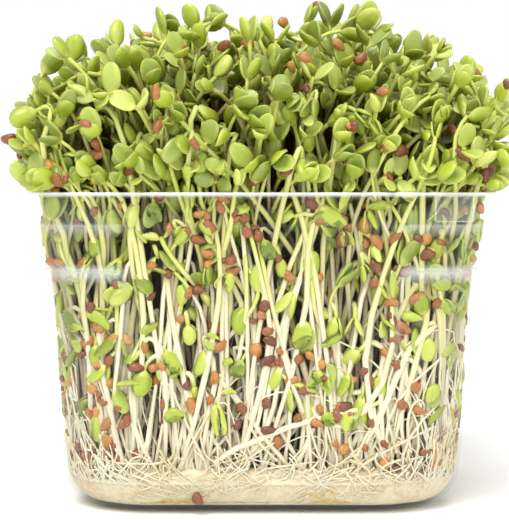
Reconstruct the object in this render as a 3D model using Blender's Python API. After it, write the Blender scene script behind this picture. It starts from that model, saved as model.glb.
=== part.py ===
"""Microgreens tray: alfalfa sprouts standing in a clear square punnet.

The punnet is a thin tub with a rim, a lug band, stacking posts and a rounded base. A fibre
pad lies in it, with a mat of roots on the pad. The sprouts stand in plain holes through the
mat, in clumps: the stems of a clump are joined at their roots by a crown.
Metres, +Z up, the front towards -Y. The origin is the middle of the flat base.
"""

import math
from dataclasses import dataclass, field

import bmesh
import bpy
import numpy as np

MM = 0.001

# Punnet: outside sizes
TRAY_HEIGHT = 73.2 * MM
RIM_HALF = 52.5 * MM
RIM_THICKNESS = 1.2 * MM
WALL = 0.8 * MM
MOUTH_HALF = 51.4 * MM
BASE_HALF = 46.2 * MM
BASE_FILLET = 9.0 * MM
MOUTH_CORNER_RADIUS = 5.0 * MM
BASE_CORNER_RADIUS = 21.0 * MM
BAND_HEIGHT = 7.4 * MM
BAND_STEP = 0.6 * MM
LEDGE_DEPTH = 17.9 * MM
POST_INSET = 1.1 * MM
POST_FADES_AT = 32.0 * MM
STEP_RISE = 0.5 * MM
LUG_FROM = 38.0 * MM
LUG_WIDTH = 8.8 * MM
LUG_HEIGHT = 6.0 * MM
LUG_PROUD = 0.8 * MM
FILLET_ANGLES = (0, 35, 65, 90)
# Degrees within a quarter turn at which every outline has its points. The posts lie between the POST_EDGES.
OUTLINE_ANGLES = (31.5, 33, 37.5, 42, 44, 46, 48, 52.5, 57, 58.5)
POST_EDGES = (33, 57)

# Growing pad and root mat, which lie in the punnet
GAP = 0.3 * MM
PAD_TOP = 7.2 * MM
MAT_TOP = 10.0 * MM
MAT_CROWN = 0.7 * MM

# Clumps: a square grid of root crowns
GRID = 5
GRID_PITCH = 17.0 * MM
CROWN_RADIUS = 5.4 * MM
CROWN_SIDES = 8
CROWN_TOP = 11.0 * MM
CROWN_RING = 3.9 * MM
ROOT_SINK = 1.5 * MM
CROWDING = 1.0 * MM

# Sprouts. The seed leaves are somewhat larger than life, because they are fewer.
SEED = 22
SPROUT_COUNT = 165
TRIES = 7000
MOST_PER_CLUMP = 8
STEM_RADIUS = 0.85 * MM
STEM_SIDES = 3
STEM_TAPER = 0.2
LEAF_LENGTH = 8.0 * MM
LEAF_WIDTH = 5.8 * MM
LEAF_INNER_BULGE = 0.15 * MM
LEAF_OUTER_BULGE = 0.95 * MM
LEAF_MIDDLE = 0.54
LEAF_EDGE = ((0.30, 0.86), (0.74, 0.90), (1.0, 0.0), (0.74, -0.90), (0.30, -0.86))
CROTCH_RISE = 0.5 * MM
HULL_SIZE = (1.75 * MM, 1.2 * MM, 1.0 * MM)
HULL_SHARE = 0.2
HULL_ON_TIP_SHARE = 0.4
HULL_UP_STEM = (0.15, 0.7)

# Canopy: a dome of heads
CANOPY_EDGE = 94.5 * MM
CANOPY_PEAK = 110.5 * MM
CANOPY_HALF = 55.0 * MM
CANOPY_POWER = 2.2
# Each zone's share of the heads that are tried, and how far in its stems lean towards their roots
ZONE_SHARES = {"top": 0.42, "side": 0.33, "below_rim": 0.16, "low": 0.09}
ZONE_LEAN = {"top": 0.70, "side": 0.70, "below_rim": 0.80, "low": 0.80}
TOP_SPREAD = 0.95
TOP_DEPTH = 7.0 * MM
# For the zones round the sides: farthest out, range inwards, lowest height and range upwards
SIDE_ZONES = {
    "side": (CANOPY_HALF, 7.0 * MM, 76.5 * MM, 16.5 * MM),
    "below_rim": (43.0 * MM, 5.0 * MM, 47.5 * MM, 22.5 * MM),
    "low": (41.0 * MM, 4.0 * MM, 25.0 * MM, 22.5 * MM),
}
INNER_CLEAR = 2.2 * MM

# How a sprout grows: the draws are in degrees, millimetres or shares of its height
HOOKED_SHARE = 0.5
HOOK_PULL = 9.0 * MM
HOOK_DOWN = 0.9
HEAD_WANDER = 0.3
HEAD_OUTWARD = {"top": 0.5, "side": 1.5, "below_rim": 0.5}
PULL_SHARE = 0.25
RISE_SHARE = 0.5
RISE_WANDER = 2.5 * MM
OPENINGS = (50, 125)
HOOKED_OPENINGS = (38, 70)
SIZES = (0.8, 1.05)

# Free room kept round every stem and leaf
CELL = 0.5 * MM
POINT_RADIUS = 0.95 * MM
TESTED_ALONG = (0.15, 0.35, 0.55, 0.75, 0.95)
TESTED_ACROSS = (-0.3, 0, 0.3)
ROOM_HALF = 66.0 * MM
ROOM_TOP = 126.0 * MM


def unit(vector):
    return vector / np.linalg.norm(vector)


def make_material(name, colour, roughness, alpha=1.0):
    material = bpy.data.materials.new(name)
    material.use_nodes = True
    shader = material.node_tree.nodes["Principled BSDF"]
    shader.inputs["Base Color"].default_value = (*colour, 1.0)
    shader.inputs["Roughness"].default_value = roughness
    shader.inputs["Metallic"].default_value = 0.0
    shader.inputs["Alpha"].default_value = alpha
    return material


def make_object(name, points, faces, material=None):
    mesh = bpy.data.meshes.new(name)
    mesh.from_pydata([tuple(point) for point in points], [], [tuple(face) for face in faces])
    if material:
        mesh.materials.append(material)
    made = bpy.data.objects.new(name, mesh)
    bpy.context.scene.collection.objects.link(made)
    return made


def join_by_boolean(target, others, operation, solver):
    """Applies one Boolean of target with a collection of other objects, which are then removed."""
    collection = bpy.data.collections.new(target.name + "_repeats")
    bpy.context.scene.collection.children.link(collection)
    for other in others:
        bpy.context.scene.collection.objects.unlink(other)
        collection.objects.link(other)
    modifier = target.modifiers.new("Join", "BOOLEAN")
    modifier.operation = operation
    modifier.operand_type = "COLLECTION"
    modifier.collection = collection
    modifier.solver = solver
    graph = bpy.context.evaluated_depsgraph_get()
    joined = bpy.data.meshes.new_from_object(target.evaluated_get(graph))
    target.modifiers.remove(modifier)
    target.data = joined
    for other in others:
        bpy.data.objects.remove(other)
    bpy.data.collections.remove(collection)


# Punnet

def reach(angle, half, radius):
    """How far a rounded square reaches from its centre at an angle in radians."""
    near, far = sorted((abs(math.cos(angle)), abs(math.sin(angle))))
    flat = half - radius
    if half * near / far <= flat:
        return half / far
    offset = flat * (far - near)
    return flat * (far + near) + math.sqrt(radius**2 - offset**2)


def outline(z, half, radius, inset=0.0):
    """One closed outline of a rounded square at height z, with its corner posts set in."""
    points = []
    for quarter in range(4):
        for degrees in OUTLINE_ANGLES:
            on_post = POST_EDGES[0] <= degrees <= POST_EDGES[1]
            angle = math.radians(degrees + 90 * quarter)
            distance = reach(angle, half - (inset if on_post else 0.0), radius)
            points.append((distance * math.cos(angle), distance * math.sin(angle), z))
    return points


def skin(outlines, outer_levels=None):
    """Points and faces of a closed solid through a run of outlines, with a flat face at each end.

    A twisted wall is split into triangles. Past outer_levels the run turns back inside it, and
    the diagonals turn with it, so that both faces bend alike and the wall keeps its thickness.
    """
    count = len(outlines[0])
    points = [point for loop in outlines for point in loop]
    faces = [tuple(reversed(range(count)))]
    for level in range(len(outlines) - 1):
        low, high = level * count, (level + 1) * count
        for i in range(count):
            after = (i + 1) % count
            corners = (low + i, low + after, high + after, high + i)
            if outer_levels is None:
                faces.append(corners)
                continue
            first = 0 if level < outer_levels else 1
            turned = corners[first:] + corners[:first]
            faces += [(turned[0], turned[1], turned[2]), (turned[0], turned[2], turned[3])]
    last = (len(outlines) - 1) * count
    faces.append(tuple(range(last, last + count)))
    return points, faces


def base_outlines(offset):
    """The rounded base, moved inwards from the outside by offset: a fillet of arcs up to the wall."""
    fillet = BASE_FILLET - offset
    flat = BASE_HALF - BASE_FILLET
    corner = BASE_CORNER_RADIUS - BASE_FILLET
    loops = []
    for degrees in FILLET_ANGLES:
        angle = math.radians(degrees)
        out = fillet * math.sin(angle)
        rise = fillet * (1 - math.cos(angle))
        loops.append(outline(offset + rise, flat + out, corner + out))
    return loops


def wall_half(z):
    """Half the outside width of the plain wall at height z."""
    share = (z - BASE_FILLET) / (TRAY_HEIGHT - BASE_FILLET)
    return BASE_HALF + (MOUTH_HALF - BASE_HALF) * share


def wall_radius(z):
    """The corner radius of the plain wall at height z."""
    share = (z - BASE_FILLET) / (TRAY_HEIGHT - BASE_FILLET)
    return BASE_CORNER_RADIUS + (MOUTH_CORNER_RADIUS - BASE_CORNER_RADIUS) * share


def wall_outlines(offset):
    """The wall above the base: corner posts, the ledge that they end in, and the lug band."""
    ledge = TRAY_HEIGHT - LEDGE_DEPTH
    band = TRAY_HEIGHT - BAND_HEIGHT
    loops = []
    for z, out, inset in (
        (POST_FADES_AT, 0.0, POST_INSET / 8),
        (ledge, 0.0, POST_INSET),
        (ledge + STEP_RISE, 0.0, 0.0),
        (band, 0.0, 0.0),
        (band + STEP_RISE, BAND_STEP, 0.0),
    ):
        loops.append(outline(z, wall_half(z) + out - offset, wall_radius(z) + out - offset, inset))
    return loops


def make_tray(material):
    under_rim = TRAY_HEIGHT - RIM_THICKNESS
    neck = MOUTH_HALF + BAND_STEP
    neck_radius = MOUTH_CORNER_RADIUS + BAND_STEP
    rim_radius = neck_radius + RIM_HALF - neck
    rim = [
        outline(under_rim, neck, neck_radius),
        outline(under_rim, RIM_HALF, rim_radius),
        outline(TRAY_HEIGHT, RIM_HALF, rim_radius),
        outline(TRAY_HEIGHT, neck - WALL, neck_radius - WALL),
    ]
    outside = base_outlines(0.0) + wall_outlines(0.0)
    inside = base_outlines(WALL) + wall_outlines(WALL)
    points, faces = skin(outside + rim + inside[::-1], outer_levels=len(outside) + 2)
    tray = make_object("tray", points, faces, material)
    join_by_boolean(tray, [make_lug(quarter) for quarter in range(4)], "UNION", "EXACT")
    tray.data.set_sharp_from_angle(angle=math.radians(30))
    return tray


def make_lug(quarter):
    """A flat rectangular lug on the band, by the right-hand end of each side."""
    top = TRAY_HEIGHT - RIM_THICKNESS / 2
    z = (top - LUG_HEIGHT, top)
    face = wall_half(top) + BAND_STEP
    depth = (face - WALL / 2, face + LUG_PROUD)
    corners = [
        (x, -y, height)
        for height in z
        for x, y in (
            (LUG_FROM, depth[1]),
            (LUG_FROM + LUG_WIDTH, depth[1]),
            (LUG_FROM + LUG_WIDTH, depth[0]),
            (LUG_FROM, depth[0]),
        )
    ]
    turn = math.radians(90 * quarter)
    points = [
        (x * math.cos(turn) - y * math.sin(turn), x * math.sin(turn) + y * math.cos(turn), height)
        for x, y, height in corners
    ]
    faces = [(3, 2, 1, 0), (4, 5, 6, 7), (0, 1, 5, 4), (1, 2, 6, 5), (2, 3, 7, 6), (3, 0, 4, 7)]
    return make_object("lug", points, faces)


# Growing pad and root mat

def cavity_outline(z, clearance):
    """The punnet's inside at height z, less a clearance."""
    loops = base_outlines(WALL + clearance) + wall_outlines(WALL + clearance)
    above = next(i for i, loop in enumerate(loops) if loop[0][2] > z)
    low, high = np.array(loops[above - 1]), np.array(loops[above])
    return low + (high - low) * (z - low[0, 2]) / (high[0, 2] - low[0, 2])


def shrunk(outline_points, inset, z):
    """An outline moved to another height and drawn in towards the axis."""
    flat = outline_points[:, :2]
    drawn = flat * (1 - inset / np.linalg.norm(flat, axis=1, keepdims=True))
    return np.column_stack([drawn, np.full(len(drawn), z)])


def make_pad(material):
    loops = [loop for loop in base_outlines(WALL + GAP) if loop[0][2] < PAD_TOP]
    return make_object("growing_pad", *skin([*loops, cavity_outline(PAD_TOP, GAP)]), material)


def make_root_mat(material, crowns):
    bottom = PAD_TOP + GAP
    side = cavity_outline(MAT_TOP - MAT_CROWN, 2 * GAP)
    loops = [cavity_outline(bottom, 2 * GAP), side, shrunk(side, MAT_CROWN, MAT_TOP)]
    mat = make_object("root_mat", *skin(loops), material)
    holes = [
        make_prism("hole", centre, CROWN_RADIUS + GAP, bottom - GAP, CROWN_TOP + GAP)
        for centre in crowns
    ]
    join_by_boolean(mat, holes, "DIFFERENCE", "EXACT")
    return mat


def make_prism(name, centre, radius, bottom, top, material=None, top_share=1.0):
    """An upright prism, or a frustum where its top is smaller than its foot."""
    turns = [2 * math.pi * (i + 0.5) / CROWN_SIDES for i in range(CROWN_SIDES)]
    loops = [
        [(centre[0] + r * math.cos(t), centre[1] + r * math.sin(t), z) for t in turns]
        for z, r in ((bottom, radius), (top, radius * top_share))
    ]
    return make_object(name, *skin(loops), material)


# Sprouts: where each one stands, and which way its leaves point

@dataclass
class Sprout:
    """A stem from its crown to its head, and two seed leaves that open from the head."""

    clump: int
    path: np.ndarray
    facing: np.ndarray
    split: np.ndarray
    opening: float
    size: float
    hull: float = 0.0

    @property
    def head(self):
        return self.path[-1]

    @property
    def across(self):
        return np.cross(self.facing, self.split)

    def leaves(self):
        """Each leaf's direction, and the way that its inner face looks."""
        half = self.opening / 2
        for side in (1, -1):
            along = math.cos(half) * self.facing + side * math.sin(half) * self.split
            inner = math.sin(half) * self.facing - side * math.cos(half) * self.split
            yield along, inner

    def hull_centre(self):
        """The seed hull sits on a leaf's tip, or lower down against the stem."""
        if self.hull > 1:
            along, _ = next(self.leaves())
            return self.head + along * LEAF_LENGTH * self.size
        place = self.hull * (len(self.path) - 1)
        i = int(place)
        centre = self.path[i] + (self.path[i + 1] - self.path[i]) * (place - i)
        outward = unit(np.array([*centre[:2], 0.0]))
        return centre + outward * STEM_RADIUS / 2

    def points(self):
        """Points down the stem and all over the leaves, each the centre of a ball of POINT_RADIUS."""
        found = []
        for start, end in zip(self.path[:-1], self.path[1:]):
            steps = max(2, int(np.linalg.norm(end - start) / POINT_RADIUS))
            found += [start + (end - start) * i / steps for i in range(steps + 1)]
        length, width = LEAF_LENGTH * self.size, LEAF_WIDTH * self.size
        for along, _ in self.leaves():
            for u in TESTED_ALONG:
                middle = self.head + along * u * length
                found += [middle + self.across * v * width for v in TESTED_ACROSS]
        if self.hull:
            found.append(self.hull_centre())
        return np.array(found)


@dataclass
class Room:
    """The space round the sprouts, in cells, with those marked that are too near a placed sprout."""

    taken: np.ndarray = field(init=False)
    ball: np.ndarray = field(init=False)

    def __post_init__(self):
        across = int(2 * ROOM_HALF / CELL)
        self.taken = np.zeros((across, across, int(ROOM_TOP / CELL)), bool)
        reach_cells = (2 * POINT_RADIUS + GAP) / CELL + math.sqrt(3) / 2
        span = np.arange(-math.ceil(reach_cells), math.ceil(reach_cells) + 1)
        cube = np.stack(np.meshgrid(span, span, span), -1).reshape(-1, 3)
        self.ball = cube[np.linalg.norm(cube, axis=1) <= reach_cells]

    def cells(self, points):
        return np.floor((points + [ROOM_HALF, ROOM_HALF, 0.0]) / CELL).astype(int)

    def fits(self, sprout):
        """True if the sprout is clear of the punnet and of every sprout that is placed."""
        points = sprout.points()
        cells = self.cells(points)
        if (cells < 0).any() or (cells >= self.taken.shape).any():
            return False
        return not self.taken[tuple(cells.T)].any() and inside_punnet(points).all()

    def take(self, sprout):
        """Marks the cells near a placed sprout."""
        around = (self.cells(sprout.points())[:, None] + self.ball[None]).reshape(-1, 3)
        around = np.clip(around, 0, np.array(self.taken.shape) - 1)
        self.taken[tuple(around.T)] = True


def inside_punnet(points):
    """True for points that clear the punnet: within its wall, or above its rim."""
    x, y, z = np.abs(points[:, 0]), np.abs(points[:, 1]), points[:, 2]
    share = (z - BASE_FILLET) / (TRAY_HEIGHT - BASE_FILLET)
    half = BASE_HALF + (MOUTH_HALF - BASE_HALF) * share - INNER_CLEAR - POST_INSET
    radius = BASE_CORNER_RADIUS + (MOUTH_CORNER_RADIUS - BASE_CORNER_RADIUS) * share
    outside = np.hypot(np.maximum(x - half + radius, 0), np.maximum(y - half + radius, 0))
    within = (np.maximum(x, y) <= half) & (outside <= radius)
    return within | (z > TRAY_HEIGHT + POINT_RADIUS + GAP)


def curve(start, rise, before, end, steps):
    """A cubic curve from start to end, pulled through two handles."""
    t = np.linspace(0, 1, steps + 1)[:, None]
    return (
        (1 - t) ** 3 * start
        + 3 * (1 - t) ** 2 * t * (start + rise)
        + 3 * (1 - t) * t**2 * (end - before)
        + t**3 * end
    )


def crown_centres():
    span = (np.arange(GRID) - (GRID - 1) / 2) * GRID_PITCH
    return [(x, y) for y in span for x in span]


def crown_places(centre):
    """The places where stems leave a crown: one in its middle, and the rest in a ring."""
    turns = 2 * math.pi * np.arange(MOST_PER_CLUMP - 1) / (MOST_PER_CLUMP - 1)
    ring = [(centre[0] + CROWN_RING * math.cos(t), centre[1] + CROWN_RING * math.sin(t)) for t in turns]
    return [centre, *ring]


def canopy_height(x, y):
    """The canopy is a low dome: highest over the middle, lower towards its edge."""
    share = min(1.0, max(abs(x), abs(y)) / CANOPY_HALF)
    return CANOPY_EDGE + (CANOPY_PEAK - CANOPY_EDGE) * (1 - share**CANOPY_POWER)


def choose_head(rng):
    """A head's place and its zone: on the dome, on the sides above or below the rim, or low by the wall."""
    zone = str(rng.choice(list(ZONE_SHARES), p=list(ZONE_SHARES.values())))
    along, depth = rng.uniform(-1, 1), rng.uniform(0, 1)
    if zone == "top":
        x, y = rng.uniform(-1, 1, 2) * CANOPY_HALF * TOP_SPREAD
        return np.array([x, y, canopy_height(x, y) - depth * TOP_DEPTH]), zone
    quarter = math.pi / 2 * rng.integers(4)
    farthest, inwards, lowest, upwards = SIDE_ZONES[zone]
    out, z = farthest - inwards * rng.uniform(0, 1), lowest + upwards * depth
    x, y = along * out, -out
    turned = [
        x * math.cos(quarter) - y * math.sin(quarter),
        x * math.sin(quarter) + y * math.cos(quarter),
    ]
    return np.array([*turned, z]), zone


def choose_place(head, zone, places):
    """The free place on a crown that is nearest under the head, drawn in as the stems fan out."""
    ideal = head[:2] * ZONE_LEAN[zone]
    crowded = {clump: MOST_PER_CLUMP - len(free) for clump, free in places.items()}
    free = [(clump, place) for clump, left in places.items() for place in left]
    return min(free, key=lambda at: math.dist(ideal, at[1]) + CROWDING * crowded[at[0]])


def grow(rng, head, zone, places):
    """One sprout for a head: its place on a crown, its curved stem and the way its leaves open."""
    clump, place = choose_place(head, zone, places)
    root = np.array([*place, CROWN_TOP - ROOT_SINK])
    outward = np.array([head[0], head[1], 0.0]) / CANOPY_HALF
    height = head[2] - root[2]
    hooked = zone == "low" or (zone == "below_rim" and rng.uniform() < HOOKED_SHARE)
    wander = np.append(rng.normal(0, HEAD_WANDER, 2), 0.0)
    if hooked:
        facing = unit(wander * 2 - [0, 0, HOOK_DOWN])
        pull = HOOK_PULL
    else:
        facing = unit(outward * HEAD_OUTWARD[zone] + wander + [0, 0, 1.0])
        pull = PULL_SHARE * height
    rise = np.append(rng.normal(0, RISE_WANDER, 2), RISE_SHARE * height)
    path = curve(root, rise, facing * pull, head, 5 if hooked else 4)
    split = unit(np.cross(facing, rng.normal(0, 1, 3)))
    opening = math.radians(rng.uniform(*(HOOKED_OPENINGS if hooked else OPENINGS)))
    size = rng.uniform(*SIZES)
    hull = 0.0
    if rng.uniform() < HULL_SHARE:
        hull = 2.0 if rng.uniform() < HULL_ON_TIP_SHARE else rng.uniform(*HULL_UP_STEM)
    return Sprout(clump, path, facing, split, opening, size, hull), place


def lay_out_sprouts(crowns):
    """Places sprouts one by one, each only where it is clear of those before it."""
    rng = np.random.default_rng(SEED)
    room, sprouts = Room(), []
    places = {clump: crown_places(centre) for clump, centre in enumerate(crowns)}
    for _ in range(TRIES):
        if len(sprouts) == SPROUT_COUNT:
            break
        sprout, place = grow(rng, *choose_head(rng), places)
        if room.fits(sprout):
            room.take(sprout)
            places[sprout.clump].remove(place)
            sprouts.append(sprout)
    return sprouts


# Sprouts: their solids

def stem_rings(sprout):
    """Rings of three points up the stem. The last ring is turned to the leaves that grow from it."""
    tangents = np.gradient(sprout.path, axis=0)
    tangents[-1] = sprout.facing
    side, rings = sprout.split, []
    for i in reversed(range(len(tangents))):
        tangent = unit(tangents[i])
        side = unit(side - tangent * (side @ tangent))
        other = np.cross(tangent, side)
        radius = STEM_RADIUS * (1 - STEM_TAPER * i / (len(tangents) - 1))
        turns = 2 * math.pi * np.arange(STEM_SIDES) / STEM_SIDES
        rings.append([sprout.path[i] + radius * (math.cos(t) * side + math.sin(t) * other) for t in turns])
    return rings[::-1]


def sprout_mesh(sprout):
    """One closed body: a three-sided stem that splits into two plump oval seed leaves."""
    rings = stem_rings(sprout)
    points = [point for ring in rings for point in ring]
    faces = [(2, 1, 0)]
    for level in range(len(rings) - 1):
        low, high = level * STEM_SIDES, (level + 1) * STEM_SIDES
        for i in range(STEM_SIDES):
            after = (i + 1) % STEM_SIDES
            faces += [(low + i, low + after, high + after), (low + i, high + after, high + i)]
    back, left, right = range(len(points) - STEM_SIDES, len(points))
    points.append(sprout.head + CROTCH_RISE * sprout.facing)
    crotch = len(points) - 1
    backs = ([(left, back), (back, right)], [(left, right)])
    for (along, inner), stem_edges in zip(sprout.leaves(), backs):
        blade = leaf_points(sprout, along, inner)
        first = len(points)
        points += blade
        inside, outside = first + len(blade) - 2, first + len(blade) - 1
        edge = [left, *range(first, inside), right]
        faces += [(a, b, inside) for a, b in zip(edge[:-1], edge[1:])]
        faces += [(b, a, outside) for a, b in zip(edge[:-1], edge[1:])]
        faces += [(right, crotch, inside), (crotch, left, inside)]
        faces += [(a, b, outside) for a, b in stem_edges]
    return points, faces


def leaf_points(sprout, along, inner):
    """The points round a blade's edge, then the middles of its flat inner and its rounded outer face."""
    length, half = LEAF_LENGTH * sprout.size, LEAF_WIDTH * sprout.size / 2
    points = [sprout.head + along * u * length + sprout.across * v * half for u, v in LEAF_EDGE]
    middle = sprout.head + along * LEAF_MIDDLE * length
    return [*points, middle + inner * LEAF_INNER_BULGE, middle - inner * LEAF_OUTER_BULGE]


def hull_mesh(centre, along):
    """A seed hull: a small egg of eight faces."""
    second = unit(np.cross(along, [0.2, 0.5, 1.0]))
    axes = (along, second, np.cross(along, second))
    points = [centre + side * size * axis for axis, size in zip(axes, HULL_SIZE) for side in (1, -1)]
    faces = [
        (first, 2 + second_side, 4 + third_side)
        if (first + second_side + third_side) % 2 == 0
        else (2 + second_side, first, 4 + third_side)
        for first in (0, 1)
        for second_side in (0, 1)
        for third_side in (0, 1)
    ]
    return points, faces


def facing_out(made):
    """Turns an object's faces so that they all point outwards."""
    mesh = bmesh.new()
    mesh.from_mesh(made.data)
    bmesh.ops.recalc_face_normals(mesh, faces=mesh.faces)
    if mesh.calc_volume(signed=True) < 0:
        bmesh.ops.reverse_faces(mesh, faces=mesh.faces)
    mesh.to_mesh(made.data)
    mesh.free()
    return made


def keep_outer_shell(made):
    """Fills the small hollows that joining seals, and drops loose scraps: only the largest shell stays."""
    mesh = bmesh.new()
    mesh.from_mesh(made.data)
    left, shells = set(mesh.faces), []
    while left:
        front = [left.pop()]
        shell = list(front)
        while front:
            near = {face for edge in front.pop().edges for face in edge.link_faces} & left
            left -= near
            front += near
            shell += near
        shells.append(shell)
    shells.sort(key=len)
    scraps = [face for shell in shells[:-1] for face in shell]
    bmesh.ops.delete(mesh, geom=scraps, context="FACES")
    mesh.to_mesh(made.data)
    mesh.free()


def make_clump(number, centre, sprouts, material):
    """A crown with its sprouts, joined into one body."""
    name = f"sprouts_{number + 1:02d}"
    crown = make_prism(name, centre, CROWN_RADIUS, PAD_TOP + GAP, CROWN_TOP, material, top_share=0.9)
    pieces = []
    for sprout in sprouts:
        pieces.append(make_object("sprout", *sprout_mesh(sprout)))
        if sprout.hull:
            pieces.append(make_object("hull", *hull_mesh(sprout.hull_centre(), sprout.split)))
    for piece in pieces:
        facing_out(piece)
    join_by_boolean(crown, pieces, "UNION", "MANIFOLD")
    keep_outer_shell(crown)
    return crown


def main():
    for old in list(bpy.data.objects):
        bpy.data.objects.remove(old)
    clear = make_material("clear_plastic", (0.93, 0.96, 0.95), 0.08, alpha=0.25)
    fibre = make_material("fibre", (0.90, 0.84, 0.70), 0.95)
    roots = make_material("roots", (0.93, 0.88, 0.76), 0.80)
    greens = make_material("greens", (0.42, 0.60, 0.16), 0.45)
    crowns = crown_centres()
    make_tray(clear)
    make_pad(fibre)
    make_root_mat(roots, crowns)
    sprouts = lay_out_sprouts(crowns)
    for number, centre in enumerate(crowns):
        own = [sprout for sprout in sprouts if sprout.clump == number]
        make_clump(number, centre, own, greens)


main()
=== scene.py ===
"""Microgreens tray, dressed: a dome of alfalfa sprouts in a clear square punnet.

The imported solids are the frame. The sprouts that the solids hold are laid out again here by
the same rule and the same seeded draws, so each fine sprout stands where its solid stands.
Thinner ones fill the room between them. Metres, +Z up, the front towards -Y.
"""

from __future__ import annotations

import logging
import math
from dataclasses import dataclass, field, fields
from enum import Enum

import bpy
import numpy as np
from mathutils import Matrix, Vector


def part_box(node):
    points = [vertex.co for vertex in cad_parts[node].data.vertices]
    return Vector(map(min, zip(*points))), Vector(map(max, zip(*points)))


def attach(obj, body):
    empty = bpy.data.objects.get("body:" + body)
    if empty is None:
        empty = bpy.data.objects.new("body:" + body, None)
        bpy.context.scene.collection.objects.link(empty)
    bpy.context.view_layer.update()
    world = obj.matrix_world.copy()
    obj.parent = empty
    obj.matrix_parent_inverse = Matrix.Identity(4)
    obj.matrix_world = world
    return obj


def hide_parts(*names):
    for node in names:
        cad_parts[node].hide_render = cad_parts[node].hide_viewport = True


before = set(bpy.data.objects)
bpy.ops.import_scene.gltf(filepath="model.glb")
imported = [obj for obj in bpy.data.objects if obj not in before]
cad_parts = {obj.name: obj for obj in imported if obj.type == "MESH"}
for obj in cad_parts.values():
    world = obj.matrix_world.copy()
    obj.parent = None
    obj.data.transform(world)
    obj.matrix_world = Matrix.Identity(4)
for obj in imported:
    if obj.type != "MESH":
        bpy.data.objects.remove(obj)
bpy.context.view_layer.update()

MM = 0.001
BODY = "root"
Array = np.ndarray
Colour = tuple[float, float, float]
Stops = tuple[tuple[float, Colour], ...]
Socket = bpy.types.NodeSocket
Feed = Socket | Colour | float
# The sockets that a Mix node uses for colours, by their places.
MIX_FACTOR, MIX_FIRST, MIX_SECOND, MIX_RESULT = 0, 6, 7, 2
log = logging.getLogger("microgreens")


def unit(vectors: Array) -> Array:
    """Each vector over its own length, never dividing by nothing."""
    return vectors / np.maximum(np.linalg.norm(vectors, axis=-1, keepdims=True), 1e-12)


def smooth_step(values: Array, low: float, high: float) -> Array:
    """A ramp from 0 at low to 1 at high, level at both ends: 3t^2 - 2t^3."""
    t = np.clip((values - low) / (high - low), 0.0, 1.0)
    return t * t * (3 - 2 * t)


def wave_noise(points: Array, scale: float, rng: np.random.Generator, waves: int = 7) -> Array:
    """Smooth bumps between about -1 and 1: the mean of sine waves in random directions.

    Args:
        points: Places, shape (..., 3).
        scale: The length of a typical wave.
        rng: The draw of directions and phases.
        waves: How many sine waves are added.

    Returns:
        One value for each place.
    """
    directions = unit(rng.normal(size=(waves, 3)))
    ways = directions * rng.uniform(0.6, 1.6, (waves, 1)) * 2 * math.pi / scale
    phases = rng.uniform(0, 2 * math.pi, waves)
    return np.sin(points @ ways.T + phases).sum(-1) / math.sqrt(waves)


@dataclass
class Shape:
    """Points, triangles and values at the points, of one or many closed surfaces."""

    points: Array
    triangles: Array
    values: dict[str, Array] = field(default_factory=dict)

    @staticmethod
    def joined(shapes: list[Shape]) -> Shape:
        """All the shapes in one, with the values that the first one names."""
        starts = np.cumsum([0] + [len(shape.points) for shape in shapes[:-1]])
        names = shapes[0].values
        return Shape(
            np.concatenate([shape.points for shape in shapes]),
            np.concatenate([shape.triangles + start for shape, start in zip(shapes, starts)]),
            {name: np.concatenate([shape.values[name] for shape in shapes]) for name in names},
        )


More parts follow.
